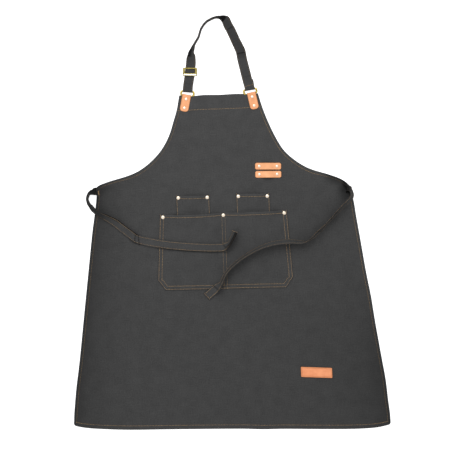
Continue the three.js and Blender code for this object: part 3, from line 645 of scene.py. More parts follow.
# Patch pockets: a wide lower pocket in two halves and two small ones whose bottoms tuck behind it.
# Canvas with a folded mouth, its other edges turned under and sewn to the panel.
GAP = 0.3
PUFF_POWER = 2.5
MOUTH_HEM = 9.0
MOUTH_FOLD = 0.8
EDGE_FOLD = 0.5
POCKET_SEAT = 0.15
SEAM_HALF = 4
POCKET_RIM = dict(face=0.8, under=0.25)
POCKET_PUCKER = dict(
    height=0.12, slope=1.1, rate=0.6, sway=1, sway_x=0.05, sway_y=-0.07, line=6, width=4,
)
MAIN_POCKET = dict(
    name="main_pocket", centre=-3.5, skew=1.5, bottom=365, top=564, half_top=165.5, half_bottom=177.4,
    chamfer_across=20.5, chamfer_up=27, halves=2, side=12, middle=8, puff=8, mouth_stitch=7, rows=(2.5, 10.5),
    turn=0.75, droop=2.4,
)
SMALL_POCKET = dict(
    skew=0, bottom=553, top=611, half_top=43.5, half_bottom=43.5,
    chamfer_across=0, chamfer_up=4, halves=1, side=11.5, middle=0, puff=7, mouth_stitch=7.5, rows=(2.2,),
    droop=1.0,
)


def pocket_half(pocket, y):
    """Half width of a pocket at a height of the panel's cut."""
    up = (y - pocket["bottom"]) / (pocket["top"] - pocket["bottom"])
    corner = np.clip(1 - (y - pocket["bottom"]) / pocket["chamfer_up"], 0, None)
    straight = pocket["half_bottom"] + (pocket["half_top"] - pocket["half_bottom"]) * up
    return straight - pocket["chamfer_across"] * corner


def pocket_centre(pocket, y):
    """Middle of a pocket at a height of the panel's cut."""
    up = (y - pocket["bottom"]) / (pocket["top"] - pocket["bottom"])
    return pocket["centre"] + pocket["skew"] * (up - 0.5)


def pocket_puff(pocket, x, y):
    """How far a pocket's front stands off the panel."""
    outer = pocket_half(pocket, y) - pocket["side"]
    inner = pocket["middle"] if pocket["halves"] == 2 else -outer
    place = np.abs(x) if pocket["halves"] == 2 else x
    share = np.clip(np.abs((2 * place - inner - outer) / (outer - inner)), 0, 1)
    depth = (pocket["top"] - y) / (pocket["top"] - pocket["bottom"] - pocket["side"])
    depth = np.clip(depth, 0, 1)
    return pocket["puff"] * (1 - share**PUFF_POWER) * (1 - depth * depth)


def pocket_edges(pocket, x, y):
    """Distances from a pocket's sewn edges, its mouth and its middle seam."""
    half = pocket_half(pocket, y)
    up = pocket["chamfer_up"]
    leg = math.hypot(pocket["chamfer_across"], up)
    side = (half - np.abs(x)) * np.where(y < pocket["bottom"] + up, up / leg, 1)
    return np.minimum(side, y - pocket["bottom"]), pocket["top"] - y, np.abs(x)


def pocket_layers(pocket, x, y):
    """Points of a pocket's face and underside."""
    sewn, mouth, middle = pocket_edges(pocket, x, y)
    base = PANEL_THICK - HEM_STEP + POCKET_SEAT + pocket_puff(pocket, x, y)
    thick = CLOTH + MOUTH_FOLD * fall(MOUTH_HEM - 0.3, MOUTH_HEM + 1, mouth)
    thick = thick + EDGE_FOLD * fall(pocket["side"] - 0.3, pocket["side"] + 1.2, sewn)
    pull = dip(mouth, pocket["mouth_stitch"], VALLEY)
    for row in pocket["rows"]:
        pull = np.maximum(pull, dip(sewn, row, VALLEY))
    if pocket["halves"] == 2:
        pull = np.maximum(pull, dip(middle, SEAM_HALF, VALLEY))
    rim = rim_drop(np.minimum(sewn, mouth), EDGE_ROUND)
    pucker = puckered(POCKET_PUCKER, x, y, sewn)
    droop = pocket["droop"] * pocket_puff(pocket, x, y) / pocket["puff"]
    turned = y + x * math.tan(math.radians(pocket["turn"]))
    place_x, place_y, lift = lie(pocket_centre(pocket, y) + x, turned - droop)
    face = lift + base + thick - STITCH_DIP * pull - POCKET_RIM["face"] * rim + pucker
    under = lift + base + POCKET_RIM["under"] * rim
    return grid_of(place_x, place_y, face), grid_of(place_x, place_y, under)


def pocket_piece(pocket):
    """Pocket cloth on a grid that follows its edges and stitch rows."""
    steps = np.array([0, 0.35, 0.9, 1.6, 2.5, 3.6, 5.5, 8, 9.4, 10.5, 11.6, 13.2])
    low = pocket["bottom"]
    high = pocket["top"]
    rows = np.unique(np.concatenate([
        low + steps, np.linspace(low + 15, high - 11, max(int((high - low) / 3.5), 6)),
        [low + pocket["chamfer_up"]], high - np.array([0, 0.35, 0.9, 2, 4, 6, 7, 8, 9, 10]),
    ]))
    half = pocket_half(pocket, rows)
    count = max(int(pocket["half_top"] / 2), 12)
    x, y = cloth_grid(rows, half[:, None] - steps, count)
    face, under = pocket_layers(pocket, x, y)
    sewn, mouth, _ = pocket_edges(pocket, x, y)
    cut = grid_of(x + pocket["centre"], y, np.minimum(sewn, mouth))
    piece = slab_piece("canvas_" + pocket["name"], face, under, cut, np.zeros(x.shape), charcoal_canvas)
    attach(piece, "root")
    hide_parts(pocket["name"])
    return piece


def pocket_outline(pocket, inset):
    """Stitch line a distance inside a pocket's sides and bottom, from mouth to mouth."""
    low = pocket["bottom"] + inset
    corner = pocket["bottom"] + pocket["chamfer_up"]
    leg = math.hypot(pocket["chamfer_across"], pocket["chamfer_up"]) / pocket["chamfer_up"]
    rise = np.linspace(low, pocket["top"] - STITCH_STOP, 80)
    side = pocket_half(pocket, rise)
    side = np.minimum(side - inset * np.where(rise < corner, leg, 1), pocket_half(pocket, corner) + 9 - inset)
    flat = np.linspace(-side[0], side[0], 80)[1:-1]
    x = np.concatenate([-side[::-1], flat, side])
    y = np.concatenate([rise[::-1], np.full(len(flat), low), rise])
    return x, y


def sewn_pocket(pocket, seed):
    """Pocket with its stitching."""
    piece = pocket_piece(pocket)

    def face(x, y):
        return pocket_layers(pocket, x, y)[0]

    lines = [line_on(face, *pocket_outline(pocket, row)) for row in pocket["rows"]]
    mouth = pocket["top"] - pocket["mouth_stitch"]
    reach = pocket_half(pocket, mouth) - pocket["rows"][-1] - STITCH_STOP
    lines.append(line_on(face, np.linspace(-reach, reach, 90), mouth))
    if pocket["halves"] == 2:
        seam = np.linspace(pocket["bottom"] + 2.5, mouth - 6, 70)
        lines += [line_on(face, -SEAM_HALF, seam), line_on(face, SEAM_HALF, seam)]
    stitching = sew(pocket["name"] + "_stitching", lines, seed)


small_pockets = [
    dict(SMALL_POCKET, name="small_pocket_left", centre=-80, turn=-0.4, rivet_drop=6.0),
    dict(SMALL_POCKET, name="small_pocket_right", centre=76, turn=-1.0, rivet_drop=7.4),
]
sewn_pocket(small_pockets[0], seed=5)
sewn_pocket(small_pockets[1], seed=7)
sewn_pocket(MAIN_POCKET, seed=11)


# Leather trim: two tool loops riveted at both ends and bowed off the bib, and a bare patch near the hem.
# Tan vegetable tanned leather, cut with rounded corners, its edges burnished darker.
LEATHER = 1.8
LEATHER_RIM = dict(radius=0.9, face=0.9, under=0.2)
EMBOSS = dict(inset=3, width=0.5, depth=0.45)
BURNISH = 2.2
BURNISH_TONE = (0.36, 0.135, 0.045)
EMBOSS_TONE = (0.30, 0.09, 0.03)
LOOP = dict(length=68, width=18, corner=5.2, bow=5.5, bow_half=20, rivet=23, shear=0)
LOOPS = table(
    "name x y turn",
    ("tool_loop_upper", 93.3, 146.2, 0.0),
    ("tool_loop_lower", 93.8, 125.2, 0.5),
)
PATCH = dict(
    name="leather_patch", x=219.4, y=-389.8, turn=-2.0,
    length=81.5, width=26.6, corner=2.6, shear=0.075,
)


def leather_finish(name, dark, light):
    """Smooth tan leather: fine pores, faint creases, darker burnished edges."""
    material, tree, shader = new_finish(name, roughness=0.5, metallic=0, specular=0.3)
    place, (_, _, edge) = cut_place(tree)
    mottle = noise_node(tree, place, 60, 4)
    colour = ramp_node(tree, mottle, ((0.25, dark), (0.75, light)))
    burnish = math_node(tree, "MINIMUM", math_node(tree, "MULTIPLY", edge, 1 / (BURNISH * MM)), 1.0)
    colour = mix_node(tree, burnish, (*BURNISH_TONE, 1), colour)
    tree.links.new(toned(tree, colour, "crease", EMBOSS_TONE), shader.inputs["Base Color"])
    pores = noise_node(tree, place, 1500, 3)
    creases = noise_node(tree, place, 240, 3, (1, 0.35, 1))
    grain = bump_node(tree, creases, 0.12, 0.0004)
    tree.links.new(bump_node(tree, pores, 0.2, 0.0002, grain), shader.inputs["Normal"])
    return material


def rounded_half(half, corner, from_end):
    """Half width of a strip at a distance from its rounded end."""
    short = np.clip(corner - from_end, 0, None)
    return half - corner + np.sqrt(np.clip(corner**2 - short**2, 0, None))


def fitting_axes(turn):
    """Directions along a fitting and up through it, by its turn in degrees."""
    angle = math.radians(turn)
    return np.array([math.cos(angle), math.sin(angle), 0]), np.array([-math.sin(angle), math.cos(angle), 0])


def cut_at(x, y):
    """Place on the panel's cut of what lies at a place, and how far it is lifted."""
    cut_x = x
    cut_y = y - HEM_AT
    for _ in range(LIE_ROUNDS):
        place_x, place_y, lift = lie(cut_x, cut_y)
        cut_x = cut_x + x - place_x
        cut_y = cut_y + y - place_y
    return cut_x, cut_y, lift


def seat_lift(x, y):
    """Height of the panel's face at a place where it lies."""
    cut_x, cut_y, _ = cut_at(np.array(x), np.array(y))
    return float(lie(cut_x, cut_y)[2]) + PANEL_THICK - HEM_STEP


def leather_strip(strip, place, bow, emboss, finish):
    """Flat strip of leather with rounded corners and edges, its middle bowed up."""
    half = strip["length"] / 2
    ends = np.array([0, 0.02, 0.08, 0.18, 0.34, 0.55, 0.8, 1.0, 1.15, 1.3]) * strip["corner"]
    even = np.linspace(-half, half, 61)
    middle = even[np.abs(even) < half - strip["corner"] * 1.4]
    stops = np.concatenate([ends - half, middle, half - ends[::-1]])
    sides = np.array([0, 0.25, 0.5, 0.66, 0.72, 0.77, 0.82, 0.88, 0.95, 0.985, 1])
    sides = np.concatenate([-sides[:0:-1], sides])
    wide = rounded_half(strip["width"] / 2, strip["corner"], half - np.abs(stops))
    along = np.repeat(stops[:, None], len(sides), axis=1)
    across = -wide[:, None] * sides
    edge = np.minimum(half - np.abs(along), wide[:, None] - np.abs(across))
    share = np.clip(np.abs(along) / strip.get("bow_half", 1), 0, 1)
    rise = bow * (1 - share**2) ** 1.5
    laid = along - strip["shear"] * across
    ahead, beside = fitting_axes(place["turn"])
    x = place["x"] + laid * ahead[0] + across * beside[0]
    y = place["y"] + laid * ahead[1] + across * beside[1]
    seat = seat_lift(place["x"], place["y"]) + GAP
    line = emboss * dip(edge, EMBOSS["inset"], EMBOSS["width"])
    rim = rim_drop(edge, LEATHER_RIM["radius"])
    face = grid_of(x, y, seat + rise + LEATHER - LEATHER_RIM["face"] * rim - EMBOSS["depth"] * line)
    under = grid_of(x, y, seat + rise + LEATHER_RIM["under"] * rim)
    cut = grid_of(along + place["x"], across + place["y"], edge)
    piece = slab_piece("leather_" + place["name"], face, under, cut, line, finish)
    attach(piece, "root")
    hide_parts(place["name"])


# The tool loops' leather is a lighter copy of the tab leather: painted light standing in for the brighter
# light on the loops
tan_leather = leather_finish("tan_leather", (0.55, 0.245, 0.112), (0.70, 0.345, 0.172))
deep_leather = leather_finish("deep_tan_leather", (0.57, 0.20, 0.085), (0.71, 0.28, 0.13))
for loop in LOOPS:
    leather_strip(LOOP, loop, bow=LOOP["bow"], emboss=0, finish=tan_leather)
leather_strip(PATCH, PATCH, bow=0, emboss=0.8, finish=deep_leather)


# Rings and slider of the neck strap. The rings are round brass wire, bent to shape and soldered.
# The slider is a flat cast frame; its middle bar sits lower, so that the strap threads over it.
WIRE = 3.2
RING_PLANE = 4.7
RING = dict(width=33.2, height=12.4, corner=5, side=5.0)
RINGS = table(
    "side x y turn tab_turn tab_shift",
    ("left", -116.3, 335, -4.6, -10.3, -1.7),
    ("right", 46.9, 340.6, 9.5, 13, 2.0),
)
SLIDER = dict(
    x=-109.6, y=391.1, turn=-1, width=37, height=21.4, corner=2.6, thick=3.0,
    upper_bar=3.4, lower_bar=7.2, side_bar=5.6, plane=9.8, bar_plane=3.6, bar=2.4,
)


def brass_finish(name, dark, light):
    """Brass with fine drawing marks and some tarnish, and pale metal painted on as a highlight where the
    piece marks it.
    """
    material, tree, shader = new_finish(name, roughness=0.2, metallic=1, specular=0.5)
    place = add_node(tree, "ShaderNodeTexCoord")["Object"]
    tarnish = noise_node(tree, place, 180, 4)
    colour = ramp_node(tree, tarnish, ((0.3, dark), (0.65, light)))
    tree.links.new(toned(tree, colour, "worn", (0.70, 0.685, 0.58)), shader.inputs["Base Color"])
    dull = math_node(tree, "ADD", math_node(tree, "MULTIPLY", tarnish, 0.2), 0.18)
    tree.links.new(dull, shader.inputs["Roughness"])
    marks = noise_node(tree, place, 1400, 2, (0.2, 1, 1))
    tree.links.new(bump_node(tree, marks, 0.08, 0.0002), shader.inputs["Normal"])
    return material


def wire_tree():
    """Nodes that draw round wire along lines."""
    tree, names, given = new_group("Bent wire", {"Lines": "Geometry", "Wire": "Float", "Finish": "Material"})
    line = add_node(tree, "GeometryNodeMeshToCurve", {"Mesh": given["Lines"]})["Curve"]
    radius = math_node(tree, "MULTIPLY", given["Wire"], 0.5)
    circle = {"Resolution": 20, "Radius": radius}
    section = add_node(tree, "GeometryNodeCurvePrimitiveCircle", circle)["Curve"]
    swell = field_node(tree, "swell", "FLOAT")
    sweep = {"Curve": line, "Profile Curve": section, "Scale": swell, "Fill Caps": True}
    close_group(tree, add_node(tree, "GeometryNodeCurveToMesh", sweep)["Mesh"], given["Finish"])
    return tree, names


def wire_loop(fitting, shape, plane):
    """Centre line of wire bent into a flat rounded rectangle."""
    along, up = fitting_axes(fitting["turn"])
    middle = np.array([fitting["x"], fitting["y"], plane])
    points = []
    for corner, (side, end) in enumerate(((1, 1), (-1, 1), (-1, -1), (1, -1))):
        pivot = middle + side * (shape["width"] / 2 - shape["corner"]) * along
        pivot = pivot + end * (shape["height"] / 2 - shape["corner"]) * up
        for angle in np.linspace(corner, corner + 1, 10) * math.pi / 2:
            points.append(pivot + shape["corner"] * (math.cos(angle) * along + math.sin(angle) * up))
    return np.array(points)


def ring_swell(ring, points):
    """How much thicker than its bars a ring's wire is, toward its two ends."""
    along, _ = fitting_axes(ring["turn"])
    reach = np.abs((points - np.array([ring["x"], ring["y"], RING_PLANE])) @ along)
    share = (reach - RING["width"] / 2 + RING["corner"]) / RING["corner"]
    return 1 + (RING["side"] / WIRE - 1) * smooth(0.1, 0.7, share)


def bent_wire(name, points, closed, wire, swell, finish):
    """Brass wire drawn along a line, closed or open."""
    count = len(points)
    edges = [(i, (i + 1) % count) for i in range(count if closed else count - 1)]
    piece = grow(name, points, edges, wire_group, {"Wire": wire * MM, "Finish": finish}, swell=swell)
    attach(piece, "root")
    return piece


def ring_faces(rings, count):
    """Faces from each closed ring of points to the next one, for a list of (ring, next ring)."""
    faces = []
    for ring, above in rings:
        for k in range(count):
            after = (k + 1) % count
            faces.append((ring * count + k, ring * count + after, above * count + after, above * count + k))
    return faces


def slider_frame(finish):
    """Flat cast frame with eased edges; its lower bar is wider and has a painted highlight of pale metal
    along its crest.
    """
    _, up = fitting_axes(SLIDER["turn"])
    shift = (SLIDER["lower_bar"] - SLIDER["upper_bar"]) / 2 * up
    opening = dict(
        width=SLIDER["width"] - 2 * SLIDER["side_bar"],
        height=SLIDER["height"] - SLIDER["lower_bar"] - SLIDER["upper_bar"], corner=1.2,
    )
    rim = wire_loop(SLIDER, SLIDER, SLIDER["plane"])
    hole = wire_loop(SLIDER, opening, SLIDER["plane"]) + shift
    half = SLIDER["thick"] / 2
    section = (
        (0.0, -0.6), (0.0, 0.6), (0.05, 0.88), (0.16, 1.0), (0.24, 1.0), (0.32, 1.0), (0.66, 1.0),
        (0.74, 1.0), (0.84, 1.0), (0.95, 0.88), (1.0, 0.6), (1.0, -0.6), (0.85, -1.0), (0.15, -1.0),
    )
    rows = [rim * (1 - share) + hole * share + np.array([0, 0, height * half]) for share, height in section]
    count = len(rim)
    faces = ring_faces([(j, (j + 1) % len(section)) for j in range(len(section))], count)
    crest = np.repeat([0.3 < share < 0.7 and height == 1.0 for share, height in section], count)
    from_low_bar = np.tile(np.abs(np.arange(count) - (3 * count / 4 - 0.5)), len(section))
    worn = crest * (from_low_bar < 6)
    piece = mesh_piece("brass_slider", np.concatenate(rows), (), faces, finish, worn=worn)
    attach(piece, "root")
    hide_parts("strap_slider")


def slider_bar():
    """Centre line of the slider's middle bar, dropped below its frame at both ends."""
    along, _ = fitting_axes(SLIDER["turn"])
    middle = np.array([SLIDER["x"], SLIDER["y"], 0])
    reach = (SLIDER["width"] - SLIDER["side_bar"]) / 2
    bend = 2.2
    right = [(reach, SLIDER["plane"])]
    for angle in np.linspace(0, math.pi / 2, 7):
        inward = bend * (1 - math.cos(angle))
        right.append((reach - inward, SLIDER["bar_plane"] + bend * (1 - math.sin(angle))))
    places = [(-x, z) for x, z in right] + right[::-1]
    return np.array([middle + x * along + np.array([0, 0, z]) for x, z in places])


brass_wire = brass_finish("brass_wire", (0.27, 0.20, 0.035), (0.50, 0.375, 0.085))
# The slider's brass is a darker copy of the ring brass: painted shade standing in for the dark reflections on
# the slider
shaded_brass = brass_finish("shaded_brass", (0.095, 0.075, 0.016), (0.19, 0.155, 0.045))
wire_group = wire_tree()
for ring in RINGS:
    ring_line = wire_loop(ring, RING, RING_PLANE)
    ring_wire = bent_wire(
        "brass_ring_" + ring["side"], ring_line, True, WIRE, ring_swell(ring, ring_line), brass_wire,
    )
    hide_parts("ring_" + ring["side"])
slider_frame(shaded_brass)
bar_line = slider_bar()
bent_wire("brass_slider_bar", bar_line, False, SLIDER["bar"], np.ones(len(bar_line)), shaded_brass)


# Ring tabs: tan leather folded round the lower bar of each ring, with one leg in front of the bib
# and one behind it, held by two rivets through all three layers.
TAB = dict(width=22.6, length=41.5, end_round=9.0, rivets=(8.5, 32.0), rim=0.6, rim_radius=0.8)


def tab_path():
    """Stations along a tab: drop below the bar, rise off it, turn, half width and end distance."""
    wrap = WIRE / 2 + GAP + LEATHER / 2
    clamp = PANEL_THICK / 2 + GAP + LEATHER / 2
    ends = np.array([0.01, 0.05, 0.12, 0.22, 0.36, 0.55, 0.78, 1]) * TAB["end_round"]
    drops = np.concatenate([TAB["length"] - ends, np.linspace(31, 1, 26)])
    cut = np.clip(TAB["end_round"] - (TAB["length"] - drops), 0, None) / TAB["end_round"]
    half = TAB["width"] / 2 * (1 - cut**2.5) ** (1 / 2.5)
    stand = clamp + (wrap - clamp) * fall(2, 9, drops)
    round_bar = np.radians(np.linspace(0, 180, 19))
    level = np.zeros(len(drops))
    over = np.full(len(round_bar), TAB["width"] / 2)
    return dict(
        drop=np.concatenate([drops, -wrap * np.sin(round_bar), drops[::-1]]),
        rise=np.concatenate([stand, wrap * np.cos(round_bar), -stand[::-1]]),
        turn=np.concatenate([level, round_bar, level + math.pi]),
        half=np.concatenate([half, over, half[::-1]]),
        end=np.concatenate([TAB["length"] - drops, over * 0 + 20, TAB["length"] - drops[::-1]]),
    )


def tab_axes(ring):
    """Middle of a tab's fold on the lower bar of its ring, and the ways along and up the tab."""
    bar_along, bar_up = fitting_axes(ring["turn"])
    along, up = fitting_axes(ring["tab_turn"])
    bar = np.array([ring["x"], ring["y"], RING_PLANE]) - bar_up * RING["height"] / 2
    return bar + bar_along * ring["tab_shift"], along, up


def ring_tab(ring):
    """Folded leather tab on the lower bar of a ring."""
    bar, along, up = tab_axes(ring)
    path = tab_path()
    sides = np.array([-1, -0.985, -0.95, -0.88, -0.75, -0.5, -0.25, 0, 0.25, 0.5, 0.75, 0.88, 0.95, 0.985, 1])
    across = path["half"][:, None] * sides
    edge = np.minimum(path["half"][:, None] - np.abs(across), path["end"][:, None])
    centre = bar - path["drop"][:, None] * up + path["rise"][:, None] * np.array([0, 0, 1])
    out = np.cos(path["turn"])[:, None] * np.array([0, 0, 1]) + np.sin(path["turn"])[:, None] * up
    skin = LEATHER / 2 - TAB["rim"] * rim_drop(edge, TAB["rim_radius"])
    middle = centre[:, None, :] + across[:, :, None] * along
    face = middle + skin[:, :, None] * out[:, None, :]
    under = middle - skin[:, :, None] * out[:, None, :]
    length = np.repeat(np.cumsum(np.ones(len(path["drop"])))[:, None], len(sides), axis=1)
    cut = grid_of(across + ring["x"], length, edge)
    piece = slab_piece("leather_tab_" + ring["side"], face, under, cut, np.zeros(across.shape), tab_leather)
    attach(piece, "root")
    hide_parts("strap_tab_" + ring["side"])


tab_leather = leather_finish("tab_leather", (0.485, 0.203, 0.086), (0.625, 0.288, 0.135))
for ring in RINGS:
    ring_tab(ring)


# Neck strap: a folded canvas strap sewn along both edges. It goes round the slider's bar,
# down behind, round the left ring, back up through the slider and over to the right ring.
PATH_COLUMNS = "x y lean z"
CREASE_COLUMNS = "x y slant way tone fade rise run edge"
BAND_COLUMNS = "side low high tone start end"
STRAP = dict(
    width=25.6, thick=1.4, rise=0.65, shade=0.55, tone=0.17, thread_shade=[((0, 0.6), (1, 0.6))] * 2,
    bands=table(BAND_COLUMNS, (1, -1, 26, 0.36, (-22, 531), (30, 418))),
)
STRAP_STITCH = 2.6
END_STITCH = 4
STRAP_STEP = 2.2
STRAP_VALLEY = 0.8
STRAP_DIP = 0.22
STRAP_RIM = dict(radius=0.9, share=0.75)
STRAP_PUCKER = dict(
    height=0.10, slope=0, rate=0.42, sway=1.3, sway_x=0, sway_y=0.071, line=1, width=3,
)
BED = dict(margin=3, across=(-1, -0.5, 0, 0.5, 1), along=(-5, 0, 5))
UPPER_RUN = 0.02
BAND_EASE = 14

# Rows from the left ring to the right ring; lean lifts the left hand edge, in degrees,
# and a row without a height z rests on what lies under it
NECK_PATH = table(
    PATH_COLUMNS,
    (-115, 353, 0, 6.9),
    (-113.1, 366, 0, 6.3),
    (-110.6, 381.6, 0, 6.8),
    (-109.5, 391.4, 0, 7.6),
    (-108.6, 401, 0, 6.8),
    (-107.4, 413, 2, 3.2),
    (-107.1, 427, 22),
    (-107.2, 438, 54),
    (-103, 451, 68),
    (-98.2, 463, 79),
    (-87.8, 480.9, 80),
    (-81.7, 500.4, 80),
    (-75.2, 511.8, 80),
    (-66.3, 521.6, 80),
    (-56.4, 527.4, 80),
    (-44, 532.4, 80),
    (-33, 532.6, 74),
    (-25, 531.4, 58),
    (-17.6, 527.5, 31),
    (-12.2, 516, 25),
    (-5, 502.4, 22),
    (8.2, 474.4, 22),
    (17.1, 456, 16),
    (21.6, 446, 6),
    (23.8, 436, 0),
    (26.0, 424, 0),
    (33, 396, 0, 2.2),
    (39.8, 369, 0, 3.7),
    (43.0, 358, 0, 5.2),
)
UP = np.array([0.0, 0.0, 1.0])


def cloth_top(x, y):
    """Top of whatever cloth lies at a place, zero on the bare floor."""
    cut_x, cut_y, lift = cut_at(x, y)
    if cut_y < 0 or cut_y > LENGTH or abs(cut_x) > half_width(cut_y):
        return 0.0
    top = lift + PANEL_THICK
    across = cut_x - pocket_centre(MAIN_POCKET, cut_y)
    inside = MAIN_POCKET["bottom"] - 1 < cut_y < MAIN_POCKET["top"] + 1
    if inside and abs(across) < pocket_half(MAIN_POCKET, cut_y) + 1:
        top = top + GAP + CLOTH + pocket_puff(MAIN_POCKET, across, cut_y)
    return float(top)


def laid_stations(rows, strap):
    """Stations of a laid strap: rows without a height rest on what lies under them."""
    stations = []
    for i, row in enumerate(rows):
        ahead = rows[min(i + 1, len(rows) - 1)]
        behind = rows[max(i - 1, 0)]
        heading = np.array([ahead["x"] - behind["x"], ahead["y"] - behind["y"], 0.0])
        heading /= np.linalg.norm(heading)
        side = np.cross(heading, UP)
        lean = math.radians(row["lean"])
        point = np.array([row["x"], row["y"], row.get("z", 0.0)])
        if "z" not in row:
            reach = strap["width"] / 2 * abs(math.cos(lean)) + BED["margin"]
            spots = [(a, f) for a in BED["across"] for f in BED["along"]]
            marks = [point + side * a * reach + heading * f for a, f in spots]
            bed = max(cloth_top(mark[0], mark[1]) for mark in marks)
            half = strap["width"] / 2 * abs(math.sin(lean)) + strap["thick"] / 2 * abs(math.cos(lean))
            point[2] = bed + strap["rise"] + half
        stations.append((point, side * math.cos(lean) - UP * math.sin(lean)))
    return stations


def bar_of(fitting, z, offset, facing):
    """Bar of a fitting that a strap goes round: its middle, the way up, and the way across the strap."""
    along, up = fitting_axes(fitting["turn"])
    return np.array([fitting["x"], fitting["y"], z]) + up * offset, up, along * facing


def wrap_stations(bar, radius, start, end, count):
    """Stations round a bar, by angles from straight up toward the top of the fitting."""
    centre, up, across = bar
    angles = np.radians(np.linspace(start, end, count))
    return [(centre + up * radius * math.sin(a) + UP * radius * math.cos(a), across) for a in angles]


def layer_station(bar, distance, z, drift=0.0):
    """Station of a strap layer behind a bar, a distance up from it and a drift to one side."""
    centre, up, across = bar
    point = centre + up * distance + across * drift
    return np.array([point[0], point[1], z]), across


def neck_stations():
    """Stations of the whole neck strap, from its sewn end at the slider to its end at the right ring."""
    wrap = WIRE / 2 + GAP + STRAP["thick"] / 2
    bar_wrap = SLIDER["bar"] / 2 + GAP + STRAP["thick"] / 2
    slider = bar_of(SLIDER, SLIDER["bar_plane"], 0, 1)
    left = bar_of(RINGS[0], RING_PLANE, RING["height"] / 2, 1)
    right = bar_of(RINGS[1], RING_PLANE, RING["height"] / 2, -1)
    return [
        layer_station(slider, -17, 1.6, -2.1),
        layer_station(slider, -9, 1.6, -0.8),
        *wrap_stations(slider, bar_wrap, 180, -40, 8),
        layer_station(slider, -5.4, 3.9, -0.4),
        layer_station(slider, -9, 3.2, -0.8),
        layer_station(slider, -18, 2.9, -2.2),
        layer_station(left, 18, 2.5),
        layer_station(left, 6, 2),
        *wrap_stations(left, wrap, 180, 360, 7),
        *laid_stations(NECK_PATH, STRAP),
        *wrap_stations(right, wrap, 0, -180, 7),
        layer_station(right, 6, 2),
        layer_station(right, 14, 1.6),
        layer_station(right, 24, 1.5),
    ]


def blend(t, knots, start, end, first, second):
    """Point between two others, by where t lies between two knots."""
    return ((knots[end] - t) * first + (t - knots[start]) * second) / (knots[end] - knots[start])


def strap_line(stations, step):
    """Smooth centre line through the stations: points, ways across, ways out and distance along."""
    marks = np.array([point for point, _ in stations])
    acrosses = np.array([across for _, across in stations])
    padded = np.vstack([2 * marks[0] - marks[1], marks, 2 * marks[-1] - marks[-2]])
    points = []
    sides = []
    for i in range(len(marks) - 1):
        near = padded[i:i + 4]
        spans = np.linalg.norm(np.diff(near, axis=0), axis=1)
        knots = np.concatenate([[0], np.cumsum(np.sqrt(np.maximum(spans, 1e-4)))])
        count = max(int(np.linalg.norm(near[2] - near[1]) / step), 2)
        shares = np.arange(count) / count
        if i == len(marks) - 2:
            shares = np.append(shares, 1.0)
        t = (knots[1] + (knots[2] - knots[1]) * shares)[:, None]
        legs = [blend(t, knots, k, k + 1, near[k], near[k + 1]) for k in range(3)]
        arcs = [blend(t, knots, k, k + 2, legs[k], legs[k + 1]) for k in range(2)]
        points.append(blend(t, knots, 1, 2, *arcs))
        eased = (shares * 0.5 + 0.5 * shares * shares * (3 - 2 * shares))[:, None]
        sides.append(acrosses[i] * (1 - eased) + acrosses[i + 1] * eased)
    points = np.concatenate(points)
    sides = np.concatenate(sides)
    forward = np.gradient(points, axis=0)
    forward /= np.linalg.norm(forward, axis=1, keepdims=True)
    sides -= np.sum(sides * forward, axis=1, keepdims=True) * forward
    sides /= np.linalg.norm(sides, axis=1, keepdims=True)
    length = np.concatenate([[0], np.cumsum(np.linalg.norm(np.diff(points, axis=0), axis=1))])
    return points, sides, np.cross(sides, forward), length


def row_near(points, x, y):
    """Row of a strap's line that lies nearest to a place, on its upper run."""
    return int(np.argmin(np.hypot(points[:, 0] - x, points[:, 1] - y) - UPPER_RUN * points[:, 2]))


def pressed(along, across, points, length, crease):
    """Height and painted shade of a pressed fold: the strap rises toward it, then drops over a sharp edge.

    A fold that favours one edge of the strap has its painted shade deep along that edge and faint along the
    other."""
    at = length[row_near(points, crease["x"], crease["y"])]
    past = crease["way"] * (along - at - crease["slant"] * across)
    rise = crease["rise"] * np.exp(np.clip(past, None, 0) / crease["run"]) * fall(0, 1.6, past)
    before = fall(0.6 * crease["fade"], 1.25 * crease["fade"], -past)
    tone = crease["tone"] * before * fall(0, 1.8, past)
    from_edge = 0.5 - 0.5 * crease.get("edge", 0) * across / across.max()
    return rise, tone * (1 - 0.7 * abs(crease.get("edge", 0)) * smooth(0.25, 0.7, from_edge))


def dark_band(along, across, points, length, band):
    """Tone of a dark band beside one edge of a strap, between two places on its way."""
    first = length[row_near(points, *band["start"])]
    last = length[row_near(points, *band["end"])]
    stretch = smooth(first, first + BAND_EASE, along) * fall(last - BAND_EASE, last, along)
    inside = across.max() - band["side"] * across
    beyond = smooth(band["low"] - 1, band["low"], inside)
    before = fall(band["high"], band["high"] + 1.2, inside)
    return band["tone"] * stretch * beyond * before


